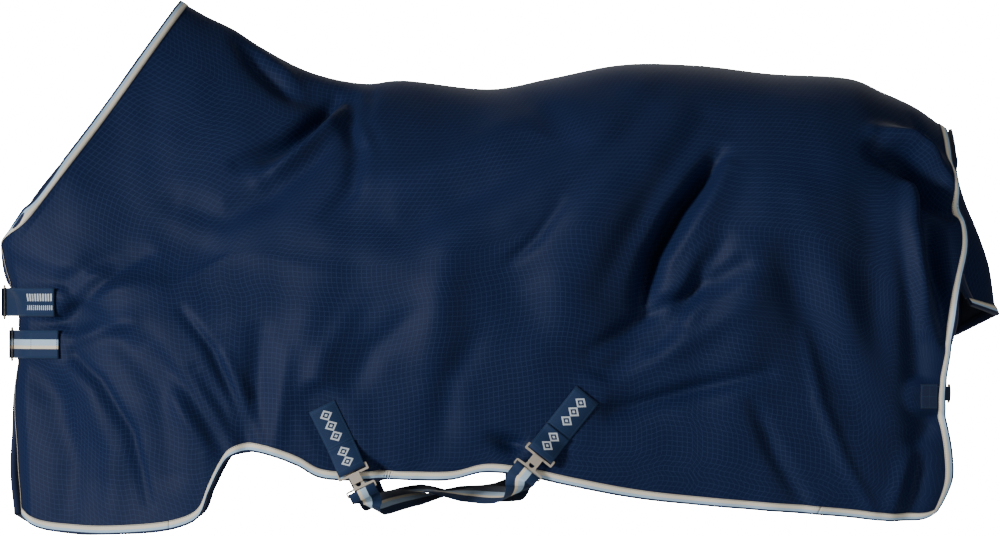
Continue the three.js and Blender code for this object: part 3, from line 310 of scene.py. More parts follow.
def folds_from(lines, x, z):
    """Sum of height * exp(-(distance / width)^2) over the lines, faded at their ends."""
    total = np.zeros_like(x)
    for height, width, line in lines:
        p = np.array(line, float) * (LENGTH, DROP) + (0, RISE)
        cut = np.linalg.norm(np.diff(p, axis=0), axis=1)
        run = np.concatenate([[0], np.cumsum(cut)])
        best, where = np.full(x.shape, 1e9), np.zeros_like(x)
        for k in range(len(cut)):
            d = p[k + 1] - p[k]
            u = np.clip(((x - p[k, 0]) * d[0] + (z - p[k, 1]) * d[1]) / (cut[k] ** 2), 0, 1)
            far = np.hypot(x - p[k, 0] - u * d[0], z - p[k, 1] - u * d[1])
            closer = far < best
            best = np.where(closer, far, best)
            where = np.where(closer, (run[k] + u * cut[k]) / run[-1], where)
        fade = 0.25 + 0.75 * np.sin(np.pi * np.clip(where, 0.02, 0.98)) ** 0.6
        total += FOLD_GAIN * height * mm * fade * np.exp(-((best / (width * mm)) ** 2))
    return total


# %% [markdown]
# The fold table. Each row is a height and a width in millimetres and a line of shares,
# like the outline's. A ridge has a height above 0 and a valley one below 0.

# %% Fold table
FOLDS_NEAR = [
    (14, 15, [(0.485, -0.120), (0.505, -0.131), (0.527, -0.151), (0.547, -0.191), (0.565, -0.244)]),
    (-20, 15, [(0.487, -0.160), (0.507, -0.178), (0.527, -0.204), (0.543, -0.240), (0.559, -0.293)]),
    (-14, 14, [(0.540, -0.244), (0.546, -0.333), (0.551, -0.433), (0.555, -0.500), (0.558, -0.577)]),
    (9, 15, [(0.523, -0.244), (0.528, -0.344), (0.531, -0.444), (0.535, -0.555)]),
    (-15, 14, [(0.333, -0.155), (0.327, -0.173), (0.309, -0.244), (0.287, -0.322),
        (0.267, -0.393), (0.258, -0.455), (0.255, -0.515)]),
    (10, 13, [(0.339, -0.189), (0.321, -0.267), (0.301, -0.338), (0.283, -0.404), (0.275, -0.466)]),
    (-7, 13, [(0.315, -0.404), (0.305, -0.466), (0.287, -0.537), (0.267, -0.589)]),
    (6, 13, [(0.323, -0.418), (0.313, -0.484), (0.295, -0.551)]),
    (-6, 10, [(0.175, -0.278), (0.150, -0.355), (0.125, -0.404)]),
    (-10, 13, [(-0.051, -0.044), (-0.063, -0.084), (-0.085, -0.133), (-0.117, -0.178)]),
    (8, 13, [(-0.043, -0.058), (-0.055, -0.107), (-0.077, -0.155), (-0.105, -0.204)]),
    (-8, 14, [(-0.040, -0.089), (-0.025, -0.155), (-0.033, -0.244), (-0.055, -0.300)]),
    (-6, 12, [(-0.013, -0.018), (-0.017, -0.089), (-0.007, -0.155)]),
    (6, 14, [(-0.130, 0.078), (-0.105, 0.031), (-0.080, -0.022)]),
    (-7, 14, [(-0.145, 0.089), (-0.123, 0.031), (-0.095, -0.027)]),
    (-8, 14, [(0.205, -0.600), (0.255, -0.533), (0.305, -0.471), (0.353, -0.404)]),
    (6, 14, [(0.215, -0.626), (0.265, -0.566), (0.315, -0.502), (0.363, -0.444)]),
    (-6, 13, [(0.227, -0.733), (0.305, -0.684), (0.377, -0.648)]),
    (-6, 10, [(-0.135, -0.800), (-0.147, -0.711), (-0.170, -0.600), (-0.200, -0.511)]),
    (5, 10, [(-0.123, -0.804), (-0.135, -0.715), (-0.155, -0.613)]),
    (-7, 14, [(-0.325, -0.533), (-0.295, -0.477), (-0.267, -0.422), (-0.235, -0.389)]),
    (6, 14, [(-0.323, -0.589), (-0.285, -0.555), (-0.250, -0.537)]),
    (-6, 10, [(-0.315, -0.600), (-0.280, -0.666), (-0.250, -0.777), (-0.235, -0.933)]),
    (-7, 14, [(0.415, -0.933), (0.385, -0.822), (0.365, -0.711)]),
    (5, 10, [(0.485, -0.955), (0.455, -0.844), (0.430, -0.711), (0.415, -0.555)]),
    (-15, 52, [(0.333, -0.111), (0.315, -0.244), (0.287, -0.355), (0.260, -0.489),
        (0.243, -0.600), (0.233, -0.700)]),
    (9, 60, [(0.225, -0.155), (0.200, -0.311), (0.175, -0.489), (0.160, -0.644)]),
    (10, 55, [(0.390, -0.267), (0.370, -0.422), (0.357, -0.577), (0.350, -0.755)]),
    (-9, 40, [(0.480, -0.222), (0.487, -0.355), (0.483, -0.533), (0.487, -0.711)]),
    (-6, 45, [(0.115, -0.378), (0.135, -0.489), (0.175, -0.577), (0.195, -0.666)]),
    (8, 40, [(0.070, -0.355), (0.055, -0.489), (0.045, -0.666)]),
    (-6, 40, [(-0.265, -0.378), (-0.295, -0.489), (-0.325, -0.600), (-0.335, -0.755)]),
    (7, 45, [(-0.055, -0.378), (-0.075, -0.555), (-0.065, -0.711)]),
    (-9, 28, [(-0.123, 0.044), (-0.100, -0.004), (-0.070, -0.040), (-0.035, -0.053)]),
    (-10, 13, [(-0.047, -0.040), (-0.067, -0.084), (-0.095, -0.133), (-0.144, -0.189)]),
    (7, 16, [(-0.037, -0.071), (-0.060, -0.129), (-0.085, -0.173), (-0.123, -0.227)]),
    (-6, 24, [(-0.055, -0.107), (-0.075, -0.182), (-0.115, -0.258), (-0.157, -0.306), (-0.205, -0.278)]),
    (-6, 14, [(-0.035, -0.022), (-0.033, -0.089), (-0.035, -0.167)]),
    (4, 14, [(-0.017, -0.036), (-0.013, -0.155)]),
    (-8, 36, [(-0.025, -0.300), (0.015, -0.329), (0.055, -0.284), (0.095, -0.240),
        (0.145, -0.178), (0.176, -0.138), (0.163, -0.089), (0.145, -0.067)]),
    (5, 30, [(-0.005, -0.222), (0.045, -0.204), (0.095, -0.155), (0.135, -0.093)]),
    (-6, 26, [(0.273, -0.038), (0.225, -0.155), (0.175, -0.267), (0.135, -0.355)]),
    (-7, 24, [(0.315, -0.084), (0.275, -0.222), (0.240, -0.355), (0.215, -0.466)]),
    (-15, 15, [(0.327, -0.173), (0.305, -0.244), (0.290, -0.291), (0.275, -0.355),
        (0.267, -0.393), (0.256, -0.489)]),
    (8, 20, [(0.347, -0.204), (0.327, -0.284), (0.311, -0.351), (0.295, -0.426), (0.283, -0.506)]),
    (-7, 14, [(0.337, -0.355), (0.320, -0.422), (0.305, -0.493)]),
    (-8, 34, [(0.385, -0.344), (0.405, -0.466), (0.435, -0.600), (0.465, -0.733)]),
    (5, 30, [(0.415, -0.267), (0.445, -0.444), (0.477, -0.600), (0.500, -0.755)]),
    (-10, 24, [(0.520, -0.333), (0.525, -0.489), (0.527, -0.644), (0.530, -0.777)]),
    (7, 22, [(0.215, -0.693), (0.255, -0.635), (0.305, -0.569), (0.360, -0.489)]),
    (-7, 20, [(0.210, -0.644), (0.255, -0.577), (0.305, -0.506), (0.355, -0.426)]),
    (-6, 20, [(0.227, -0.737), (0.295, -0.693), (0.375, -0.648)]),
    (-13, 15, [(0.111, -0.791), (0.130, -0.808), (0.149, -0.826)]),
    (-11, 11, [(-0.017, -0.848), (0.000, -0.866), (0.019, -0.888)]),
    (-8, 20, [(-0.153, -0.839), (-0.195, -0.700), (-0.235, -0.589)]),
    (6, 15, [(-0.173, -0.811), (-0.210, -0.677)]),
    (-6, 13, [(-0.135, -0.826), (-0.160, -0.722), (-0.185, -0.644)]),
    (-7, 17, [(-0.133, -0.826), (-0.127, -0.688), (-0.123, -0.555)]),
    (5, 15, [(-0.109, -0.833), (-0.100, -0.711), (-0.095, -0.600)]),
    (-4, 9, [(0.527, -0.089), (0.553, -0.215)]),
    (10, 10, [(0.501, -0.138), (0.515, -0.142), (0.533, -0.178), (0.563, -0.264)]),
    (-15, 11, [(0.508, -0.167), (0.520, -0.175), (0.537, -0.218), (0.563, -0.295)]),
    (-10, 12, [(0.537, -0.240), (0.535, -0.311), (0.544, -0.406), (0.553, -0.469)]),
    (7, 14, [(0.520, -0.244), (0.519, -0.322), (0.527, -0.418), (0.537, -0.489)]),
    (-8, 18, [(0.557, -0.700), (0.530, -0.800), (0.520, -0.951)]),
    (6, 16, [(0.543, -0.766), (0.517, -0.855), (0.500, -0.959)]),
    (-6, 26, [(-0.363, -0.622), (-0.325, -0.711), (-0.310, -0.844), (-0.315, -0.988)]),
    (5, 24, [(-0.361, -0.555), (-0.290, -0.688), (-0.267, -0.822), (-0.273, -0.988)]),
    (-5, 22, [(-0.325, -0.489), (-0.265, -0.566), (-0.220, -0.688), (-0.210, -0.866)]),
    (-5, 16, [(-0.329, -0.466), (-0.290, -0.404), (-0.245, -0.378)]),
    (4, 16, [(-0.327, -0.511), (-0.275, -0.466), (-0.225, -0.455)]),
    (-5, 22, [(-0.041, -0.706), (-0.013, -0.600), (0.035, -0.511)]),
    (4, 18, [(-0.073, -0.722), (-0.055, -0.600), (-0.025, -0.489)]),
    (-5, 24, [(0.055, -0.800), (0.065, -0.666), (0.095, -0.555)]),
]


print(len(FOLDS_NEAR), "fold lines")


# %% [markdown]
# The cloth's height above the plain surface is the fold lines, plus seeded waves, plus
# the small puckers that binding makes above a hem. Under a fitting it is held flat.

# %% Folded panels
def waves(x, z, size, height, seed):
    """Gentle unevenness: twelve plane waves of about one size, in seeded directions."""
    rng = np.random.default_rng(seed)
    turn, phase = rng.uniform(0, math.pi, 12), rng.uniform(0, 2 * math.pi, 12)
    k = 2 * math.pi / (size * rng.uniform(0.7, 1.5, 12))
    total = sum(np.cos(k[i] * (x * math.cos(turn[i]) + z * math.sin(turn[i])) + phase[i])
                for i in range(12))
    return total * height * mm / math.sqrt(6)


def fold_height(x, z, side):
    """How far the cloth stands out at (x, z): the fold lines, broad and small waves, and
    puckers that fade above the hem. The off side has its own waves and softer folds."""
    near = side < 0
    total = folds_from(FOLDS_NEAR if near else FOLDS_NEAR[::3], x, z)
    total += waves(x, z, 0.34, 2.2, 3 if near else 11) + waves(x, z, 0.09, 0.5, 5 if near else 13)
    hem = np.interp(x, *HEM_HEIGHT)
    above = np.clip((z - hem) / 0.07, 0, 1)
    total += 1.6 * mm * np.sin(x / 0.017 + 2 * np.sin(x / 0.11)) * (1 - above) ** 2
    held = under_fittings(x, z)
    return total * (1 - held) - 0.0004 * held


HEM_HEIGHT = half_rug(np.linspace(0.1, 1, 200), 1.0)[:, [0, 2]].T


def swing(base):
    """How far the off side's lower front edge stands forward: 0 to 1, eased in."""
    x, z = base[..., 0], base[..., 2]
    return ease(np.clip((-0.46 - z) / 0.25, 0, 1)) * np.clip((-0.56 - x) / 0.08, 0, 1)


def panel_points(s, t, side, depth=0.0):
    """The cloth's outer face with its folds, `depth` further in. Folds fade to nothing
    at the back seam. The off panel's lower front swings a little forward."""
    base = half_rug(s, t)
    normal = normals_of(base)
    normal[:, 0] = unit(normal[:, 0] * (1, 0, 1))
    x, z = base[..., 0], base[..., 2]
    fade = ease(np.clip(t / 0.12, 0, 1)) * np.ones_like(x)
    rise = fold_height(x, z, side) * fade
    out = base + normal * (rise - depth)[..., None]
    if side > 0:
        out[..., 0] -= 0.018 * swing(base)
        out[..., 1] *= -1
    return out, rise


# %% [markdown]
# ## Turning arrays into meshes
# A grid of points becomes a mesh once its neighbours are joined by quads. The same
# helper closes a cloth with thickness: two grids, one face up and one down, and a rim.

# %% Mesh helpers
def mesh_object(name, points, faces, uv=None):
    """An object at the origin from points, faces and one UV pair for each point. faces
    is an array of quads, or a list where their sizes are mixed."""
    mesh = bpy.data.meshes.new(name)
    faces = faces.tolist() if isinstance(faces, np.ndarray) else faces
    mesh.from_pydata(points.reshape(-1, 3).tolist(), [], faces)
    if uv is not None:
        layer = mesh.uv_layers.new(name="cloth")
        index = np.empty(len(mesh.loops), np.int32)
        mesh.loops.foreach_get("vertex_index", index)
        layer.data.foreach_set("uv", uv.reshape(-1, 2)[index].astype(np.float32).ravel())
    mesh.polygons.foreach_set("use_smooth", np.full(len(mesh.polygons), True))
    mesh.update()
    obj = bpy.data.objects.new(name, mesh)
    bpy.context.scene.collection.objects.link(obj)
    return obj


def grid_quads(nu, nv, start=0, flip=False):
    """Quads between neighbours of an nu by nv grid whose points are numbered by rows."""
    i, j = np.meshgrid(np.arange(nu - 1), np.arange(nv - 1), indexing="ij")
    a = (start + i * nv + j).ravel()
    quads = np.stack([a, a + 1, a + nv + 1, a + nv], axis=1)
    return quads[:, ::-1] if flip else quads


def volume_of(points, faces):
    """Signed volume: the sum of tetrahedra from the origin to each half quad."""
    p = points.reshape(-1, 3)
    a, b, c, d = (p[faces[:, k]] for k in range(4))
    return (np.sum(a * np.cross(b, c)) + np.sum(a * np.cross(c, d))) / 6


def closed_cloth(name, top, under, uv):
    """Two grids of points joined round their rim, with every face pointing outwards."""
    nu, nv = top.shape[:2]
    n = nu * nv
    points = np.concatenate([top.reshape(-1, 3), under.reshape(-1, 3)])
    i, j = np.arange(nu), np.arange(nv)
    ring = np.concatenate([i * nv, (nu - 1) * nv + j[1:], i[::-1][1:] * nv + nv - 1, j[::-1][1:-1]])
    nxt = np.roll(ring, -1)
    rim = np.stack([ring, nxt, nxt + n, ring + n], axis=1)
    faces = np.concatenate([grid_quads(nu, nv), grid_quads(nu, nv, n, flip=True), rim])
    if volume_of(points, faces) < 0:
        faces = faces[:, ::-1]
    return mesh_object(name, points, faces, np.concatenate([uv.reshape(-1, 2)] * 2))


# %% [markdown]
# Tabs, straps and rods are bars: one flat section carried along a path. What makes them
# right is the direction called across, given at each station, which sets their twist.

# %% Bars carried along a path
def sweep(name, centre, wide, section, closed=False):
    """A bar whose section, points of (across, out), is carried along a path. `wide` is
    the across direction at each station and out = path direction x wide. UV is (length
    along the path, place across), in metres."""
    centre = np.asarray(centre, float)
    ahead = np.gradient(centre, axis=0)
    if closed:
        ahead = np.roll(centre, -1, axis=0) - np.roll(centre, 1, axis=0)
    ahead = unit(ahead)
    wide = np.broadcast_to(wide, centre.shape)
    wide = unit(wide - ahead * np.sum(wide * ahead, axis=1, keepdims=True))
    out = unit(np.cross(ahead, wide))
    section = np.asarray(section, float)
    pts = centre[:, None] + wide[:, None] * section[:, :1] + out[:, None] * section[:, 1:]
    n, m = len(centre), len(section)
    run = np.concatenate([[0], np.cumsum(np.linalg.norm(np.diff(centre, axis=0), axis=1))])
    uv = np.stack(np.broadcast_arrays(run[:, None], section[:, 0]), axis=-1)
    i, j = np.meshgrid(np.arange(n if closed else n - 1), np.arange(m), indexing="ij")
    a, b = (i * m + j).ravel(), (i * m + (j + 1) % m).ravel()
    c, d = (((i + 1) % n) * m + (j + 1) % m).ravel(), (((i + 1) % n) * m + j).ravel()
    faces = np.stack([a, b, c, d], axis=1)
    flip = volume_of(pts, faces) < 0 if closed else bar_inside_out(pts, faces)
    faces = faces[:, ::-1] if flip else faces
    faces = faces.tolist()
    if not closed:
        first, last = list(range(m)), list(range((n - 1) * m, n * m))
        faces += [first[::-1], last] if not flip else [first, last[::-1]]
        if not caps_agree(pts, faces[-2], pts[1].mean(axis=0)):
            faces[-2:] = [f[::-1] for f in faces[-2:]]
    return mesh_object(name, pts, faces, uv)


def bar_inside_out(pts, faces):
    """Do the side faces of a bar point inwards? Compared with the way from its centre."""
    p = pts.reshape(-1, 3)
    normal = np.cross(p[faces[:, 1]] - p[faces[:, 0]], p[faces[:, 3]] - p[faces[:, 0]])
    middle = p[faces].mean(axis=1)
    ring = np.repeat((pts[:-1].mean(axis=1) + pts[1:].mean(axis=1)) / 2, pts.shape[1], axis=0)
    return np.sum(normal * (middle - ring)) < 0


def caps_agree(pts, face, inner):
    """Does the first cap point away from the next station?"""
    p = pts.reshape(-1, 3)[face]
    middle = p.mean(axis=0)
    normal = np.cross(p - middle, np.roll(p, -1, axis=0) - middle).sum(axis=0)
    return normal @ (middle - inner) > 0


def tape_section(width, thick, round_by=0.0004):
    """A flat strip's section with its long edges rounded by a short chamfer."""
    w, h, r = width / 2, thick / 2, min(round_by, thick / 2.5)
    return [(-w, -h + r), (-w + r, -h), (w - r, -h), (w, -h + r),
            (w, h - r), (w - r, h), (-w + r, h), (-w, h - r)]


def round_section(radius, sides=12):
    a = np.arange(sides) * 2 * math.pi / sides
    return np.stack([radius * np.cos(a), radius * np.sin(a)], axis=1)


def placed(obj, material, body, *nodes):
    """Gives a piece its finish, lets it ride on a body and stand for its CAD nodes."""
    obj.data.materials.clear()
    obj.data.materials.append(material)
    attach(obj, body)
    if nodes:
        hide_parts(*nodes)
    return obj


# %% [markdown]
# ## Finishes
# The outer is polyester with a coarse ripstop grid. The pattern reads the cloth's own UV
# map, in metres, so it bends with every fold and keeps its true spacing.

# %% Node helpers
class Finish:
    """A small wrapper that adds nodes and links them by name."""

    def __init__(self, name, **socket):
        self.material = bpy.data.materials.new(name)
        self.material.use_nodes = True
        self.tree = self.material.node_tree
        self.shader = self.tree.nodes["Principled BSDF"]
        for key, value in socket.items():
            self.shader.inputs[key.replace("_", " ")].default_value = value

    def node(self, kind, inputs=(), **settings):
        made = self.tree.nodes.new("ShaderNode" + kind)
        for key, value in settings.items():
            setattr(made, key, value)
        for slot, value in dict(inputs).items():
            self.feed(value, made.inputs[slot])
        return made

    def feed(self, value, socket):
        if isinstance(value, bpy.types.NodeSocket):
            self.tree.links.new(value, socket)
        else:
            socket.default_value = value

    def math(self, operation, *values):
        return self.node("Math", dict(enumerate(values)), operation=operation).outputs[0]

    def blend(self, factor, a, b):
        made = self.node("Mix", data_type="RGBA")
        for slot, value in zip((0, 6, 7), (factor, a, b)):
            self.feed(value, made.inputs[slot])
        return made.outputs[2]

    def between(self, value, low, high):
        above, below = self.math("GREATER_THAN", value, low), self.math("LESS_THAN", value, high)
        return self.math("MULTIPLY", above, below)

    def uv(self):
        parts = self.node("SeparateXYZ", {0: self.node("UVMap", uv_map="cloth").outputs[0]})
        return parts.outputs[0], parts.outputs[1]

    def noise(self, scale, detail=2.0):
        at = self.node("TexCoord").outputs["Object"]
        return self.node("TexNoise", {"Vector": at, "Scale": scale, "Detail": detail}).outputs["Fac"]

    def bump(self, height, strength, distance):
        made = self.node("Bump", {"Height": height, "Strength": strength, "Distance": distance})
        self.tree.links.new(made.outputs[0], self.shader.inputs["Normal"])

    def color(self, value):
        self.feed(value, self.shader.inputs["Base Color"])
        return self.material


def near_line(f, value, pitch, half):
    """1 within `half` of each multiple of `pitch`."""
    return f.math("LESS_THAN", f.math("PINGPONG", value, pitch / 2), half)


# %% [markdown]
# The ripstop's grid is a thicker thread every 9 mm each way. Tapes and webbing share one
# recipe: bands of colour across, a rib with painted shade once per rib, rows of stitches, and sometimes a
# woven motif.

# %% Ripstop, lining and tape
RIPSTOP_PITCH, RIPSTOP_HALF = 8.9 * mm, 0.55 * mm


def ripstop(name, deep, light, line):
    f = Finish(name, Roughness=0.6, Specular_IOR_Level=0.16, Sheen_Weight=0.02, Sheen_Roughness=0.5)
    u, v = f.uv()
    grid = f.math("MAXIMUM", *(near_line(f, k, RIPSTOP_PITCH, RIPSTOP_HALF) for k in (u, v)))
    worn = f.noise(420.0, 1.0)
    patchy = f.noise(9.0, 4.0)
    ground = f.blend(patchy, deep, light)
    grain = f.blend(f.math("MULTIPLY", worn, 0.5), ground, deep)
    thread = f.math("MULTIPLY", grid, f.math("MULTIPLY_ADD", worn, 1.1, 0.05))
    weave = f.math("ADD", f.math("PINGPONG", u, 0.0006), f.math("PINGPONG", v, 0.0006))
    height = f.math("ADD", f.math("MULTIPLY", weave, 500.0), f.math("MULTIPLY", grid, 0.6))
    f.bump(height, 0.22, 0.0005)
    return f.color(f.blend(thread, grain, line))


outer_cloth = ripstop("navy_ripstop", deep=(0.0023, 0.0092, 0.043, 1), light=(0.0046, 0.016, 0.068, 1),
                      line=(0.016, 0.035, 0.105, 1))


def plain_lining(name, a, b):
    f = Finish(name, Roughness=0.7, Sheen_Weight=0.1)
    u, v = f.uv()
    weave = f.math("MULTIPLY", f.math("PINGPONG", u, 0.0007), f.math("PINGPONG", v, 0.0007))
    f.bump(f.math("MULTIPLY", weave, 2.0e6), 0.2, 0.0004)
    return f.color(f.blend(f.noise(60.0, 3.0), a, b))


lining_cloth = plain_lining("navy_lining", (0.004, 0.009, 0.03, 1), (0.008, 0.016, 0.046, 1))


def banded(name, bands, ground, rib=0.0012, motif=None, stitches=(), roughness=0.7):
    """Woven tape: coloured bands along it at places across, a fine rib, painted shade once
    per rib, stitches, and sometimes a woven motif. bands holds (from, to, colour) in metres across."""
    f = Finish(name, Roughness=roughness, Specular_IOR_Level=0.3, Sheen_Weight=0.15)
    u, v = f.uv()
    color = ground
    for low, high, tint in bands:
        color = f.blend(f.between(v, low, high), color, tint)
    ribs = f.math("ADD", f.math("PINGPONG", u, rib / 2), f.math("PINGPONG", v, 0.0004))
    height = f.math("MULTIPLY", ribs, 900.0)
    if motif:
        mask, tint = motif(f, u, v)
        color = f.blend(mask, color, tint)
        height = f.math("ADD", height, f.math("MULTIPLY", mask, 0.4))
    for along, place, low, high, tint in stitches:
        a, b = (u, v) if along else (v, u)
        dash = f.math("LESS_THAN", f.math("PINGPONG", a, 0.0019), 0.0013)
        here = f.math("MULTIPLY", f.between(b, place - 0.0005, place + 0.0005), f.between(a, low, high))
        mask = f.math("MULTIPLY", here, dash)
        color = f.blend(mask, color, tint)
        height = f.math("ADD", height, f.math("MULTIPLY", here, -0.7))
    # Painted shade: the colour is darkened a little towards grey once per rib, as if each rib's groove lay
    # in shadow.
    painted_rib_shade = f.math("MULTIPLY", f.math("PINGPONG", u, rib / 2), 2 / rib)
    dark = f.node("Mix", data_type="RGBA", blend_type="MULTIPLY")
    f.feed(f.math("MULTIPLY", painted_rib_shade, 0.12), dark.inputs[0])
    f.feed(color, dark.inputs[6])
    dark.inputs[7].default_value = (0.35, 0.35, 0.35, 1)
    f.bump(height, 0.35, 0.0005)
    return f.color(dark.outputs[2])


NAVY = (0.004, 0.014, 0.06, 1)
CREAM = (0.96, 0.87, 0.70, 1)
SKY = (0.50, 0.72, 0.95, 1)
THREAD = (0.02, 0.05, 0.1, 1)
binding_tape = banded("edge_binding", [(0.0009, 0.0085, CREAM), (0.0085, 0.0128, SKY)], NAVY,
                      stitches=[(True, 0.0021, -1, 9, THREAD)])
print("finishes", outer_cloth.name, lining_cloth.name, binding_tape.name)


# %% [markdown]
# ## The two panels and their lining
# Each side is a fine grid of the surface, with a second grid 5 mm further in, closed at
# the rim. Stations crowd together at the chest fold and above the foreleg, where the
# cloth turns most. UVs run in metres along the cloth, so the weave isn't stretched.

# %% Panels
PANEL_GRID = ((272, 178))


def stations(count, table):
    """Shares from 0 to 1, with spacing that follows the table's density."""
    at = np.linspace(0, 1, 2000)
    weight = np.cumsum(np.interp(at, *np.array(table).T))
    weight = (weight - weight[0]) / (weight[-1] - weight[0])
    return np.interp(np.linspace(0, 1, count), weight, at)


def cloth_lengths(grid):
    """UV in metres: lengths along the rows and down the columns, both counted on the
    cloth itself, with the first number measured from the middle row."""
    across = np.linalg.norm(np.diff(grid, axis=0), axis=2)
    downward = np.linalg.norm(np.diff(grid, axis=1), axis=2)
    zero_u, zero_v = np.zeros((1, grid.shape[1])), np.zeros((grid.shape[0], 1))
    u = np.concatenate([zero_u, np.cumsum(across, axis=0)])
    u -= u[grid.shape[0] // 2]
    v = np.concatenate([zero_v, np.cumsum(downward, axis=1)], axis=1)
    return np.stack([u, v], axis=-1)


CROWDING = [(0, 3), (0.08, 3), (0.14, 1.4), (0.3, 1.2), (0.34, 0.9), (0.9, 0.9), (0.95, 1.2), (1, 1.5)]
S = stations(PANEL_GRID[0], CROWDING)[:, None]
T = stations(PANEL_GRID[1], [(0, 0.8), (0.45, 1), (0.6, 1.1), (1, 1.1)])[None, :]
panels, rises = {}, {}
for name, side in (("left", -1), ("right", 1)):
    top, rise = panel_points(S, T, side)
    under, _ = panel_points(S, T, side, SHELL)
    if side > 0:
        top, under = top[::-1], under[::-1]
    uv = cloth_lengths(top)
    panels[name] = closed_cloth(f"outer_{name}_cloth", top, under, uv)
    placed(panels[name], outer_cloth, ROOT, f"outer_{name}")
    a, _ = panel_points(S, T, side, SHELL + GAP)
    b, _ = panel_points(S, T, side, SHELL + GAP + LINING)
    if side > 0:
        a, b = a[::-1], b[::-1]
    lining = closed_cloth(f"lining_{name}_cloth", a, b, cloth_lengths(a))
    placed(lining, lining_cloth, ROOT, f"lining_{name}")
    flat = (round(float(uv[..., 0].max() - uv[..., 0].min()), 2), round(float(uv[..., 1].max()), 2))


# %% [markdown]
# ## Binding
# A folded tape runs round every edge. Its section is a thin channel: out over the cloth,
# round the edge and back inside. Its place across is kept as the UV's second number, so
# the cream, blue and navy bands stay parallel to the edge.

# %% Binding tape
BINDING, TAPE = 0.015, 0.0011
CLEAR = 0.0009


def channel(edge, inner, normal, layers, end_gap=GAP / 2):
    """Section points for each station, from the inner line on the outer face, round the
    edge, to the inner line on the lining; and how far each lies from the first."""
    away = unit(edge - inner)
    lift = lambda p, h, reach=0.0: p + normal * h + away * reach
    top, low = CLEAR, -layers - CLEAR
    ring = [lift(inner, top - 0.0004), lift(inner, top + TAPE * 0.6, 0.0004),
            lift(inner * 0.5 + edge * 0.5, top + TAPE), lift(edge, top + TAPE, 0.0002),
            lift(edge, top + TAPE * 0.6, CLEAR + TAPE * 0.8), lift(edge, -layers / 2, CLEAR + TAPE),
            lift(edge, low - TAPE * 0.6, CLEAR + TAPE * 0.8), lift(edge, low - TAPE, 0.0002),
            lift(inner, low - TAPE), lift(inner, low), lift(edge, low, CLEAR), lift(edge, top, CLEAR)]
    side = [0, 0.0006, BINDING / 2, BINDING - 0.0003, BINDING + 0.0009, BINDING + 0.003, BINDING + 0.006,
            BINDING + 0.007, 2 * BINDING + 0.007, 2 * BINDING + 0.008, BINDING + 0.012, BINDING + 0.011]
    ring = np.stack(ring, axis=1)
    run = np.concatenate([[0], np.cumsum(np.linalg.norm(np.diff(edge, axis=0), axis=1))])
    ring[0] += (ring[1] - ring[0]) * end_gap / max(run[1], 1e-6)
    ring[-1] += (ring[-2] - ring[-1]) * end_gap / max(run[-1] - run[-2], 1e-6)
    uv = np.stack(np.broadcast_arrays(run[:, None], np.array(side)[None, :]), axis=-1)
    return ring, uv


def channel_object(name, edge, inner, normal, layers):
    ring, uv = channel(edge, inner, normal, layers)
    n, m = ring.shape[:2]
    i, j = np.meshgrid(np.arange(n - 1), np.arange(m), indexing="ij")
    a, b = (i * m + j).ravel(), (i * m + (j + 1) % m).ravel()
    faces = np.stack([a, b, b + m, a + m], axis=1)
    flip = bar_inside_out_thin(ring, faces, normal, m)
    faces = (faces[:, ::-1] if flip else faces).tolist()
    caps = [list(range(m)), list(range((n - 1) * m, n * m))]
    faces += [caps[0][::-1], caps[1]] if not flip else [caps[0], caps[1][::-1]]
    return mesh_object(name, ring, faces, uv)


def bar_inside_out_thin(ring, faces, normal, m):
    """Does the tape's outer face point towards the cloth? Read on its second strip."""
    p = ring.reshape(-1, 3)
    strip = faces[1::m]
    found = np.cross(p[strip[:, 1]] - p[strip[:, 0]], p[strip[:, 3]] - p[strip[:, 0]])
    return np.sum(found * normal[:-1]) < 0


def inset_share(points_at, width, tries=14):
    """Shares at which the cloth has run `width` in from its edge, by halving."""
    edge = points_at(0.0)
    low, high = np.zeros(len(edge)), np.full(len(edge), 0.3)
    for _ in range(tries):
        mid = (low + high) / 2
        close = np.linalg.norm(points_at(mid) - edge, axis=1) < width
        low, high = np.where(close, mid, low), np.where(close, high, mid)
    return low


def edge_strip(name, s, t, step_s, step_t, side):
    """Binding along the places (s, t). Its inner line is one width along (step_s, step_t)."""
    reach = inset_share(lambda k: half_rug(s + k * step_s, t + k * step_t), BINDING)
    edge = lifted_points(s, t, side)
    inner = lifted_points(s + reach * step_s, t + reach * step_t, side)
    ahead = np.gradient(edge, axis=0)
    normal = unit(np.cross(ahead, edge - inner))
    outward = outward_at(s, t, side)
    normal *= np.sign(np.sum(normal * outward, axis=1, keepdims=True))
    normal = smooth_rows(normal)
    return channel_object(name, edge, inner, normal, SHELL + GAP + LINING)


def smooth_rows(v, times=8):
    for _ in range(times):
        v = np.concatenate([v[:1], (v[:-2] + 2 * v[1:-1] + v[2:]) / 4, v[-1:]])
    return unit(v)


def outward_at(s, t, side):
    """The cloth's outward direction at places (s, t), from small steps either way."""
    h = 0.004
    s0, s1 = np.clip(s - h, 0, 1), np.clip(s + h, 0, 1)
    t0, t1 = np.clip(t - h, 0, 1), np.clip(t + h, 0, 1)
    n = -unit(np.cross(half_rug(s1, t) - half_rug(s0, t), half_rug(s, t1) - half_rug(s, t0)))
    return n * (1, -side, 1)


def lifted_points(s, t, side):
    """The folded outer face at single places, as panel_points gives it for a grid."""
    base, h = half_rug(s, t), 0.004
    normal = outward_at(s, t, -1)
    fade = ease(np.clip(t / 0.12, 0, 1))
    out = base + normal * (fold_height(base[:, 0], base[:, 2], side) * fade)[:, None]
    if side > 0:
        out[:, 0] -= 0.018 * swing(base)
        out[:, 1] *= -1
    return out


CHEST_T, ARCH_S, CORNER_S = 0.66, 0.222, 0.885
ARC = 90


def line(a, b, n):
    return np.linspace(a, b, n)


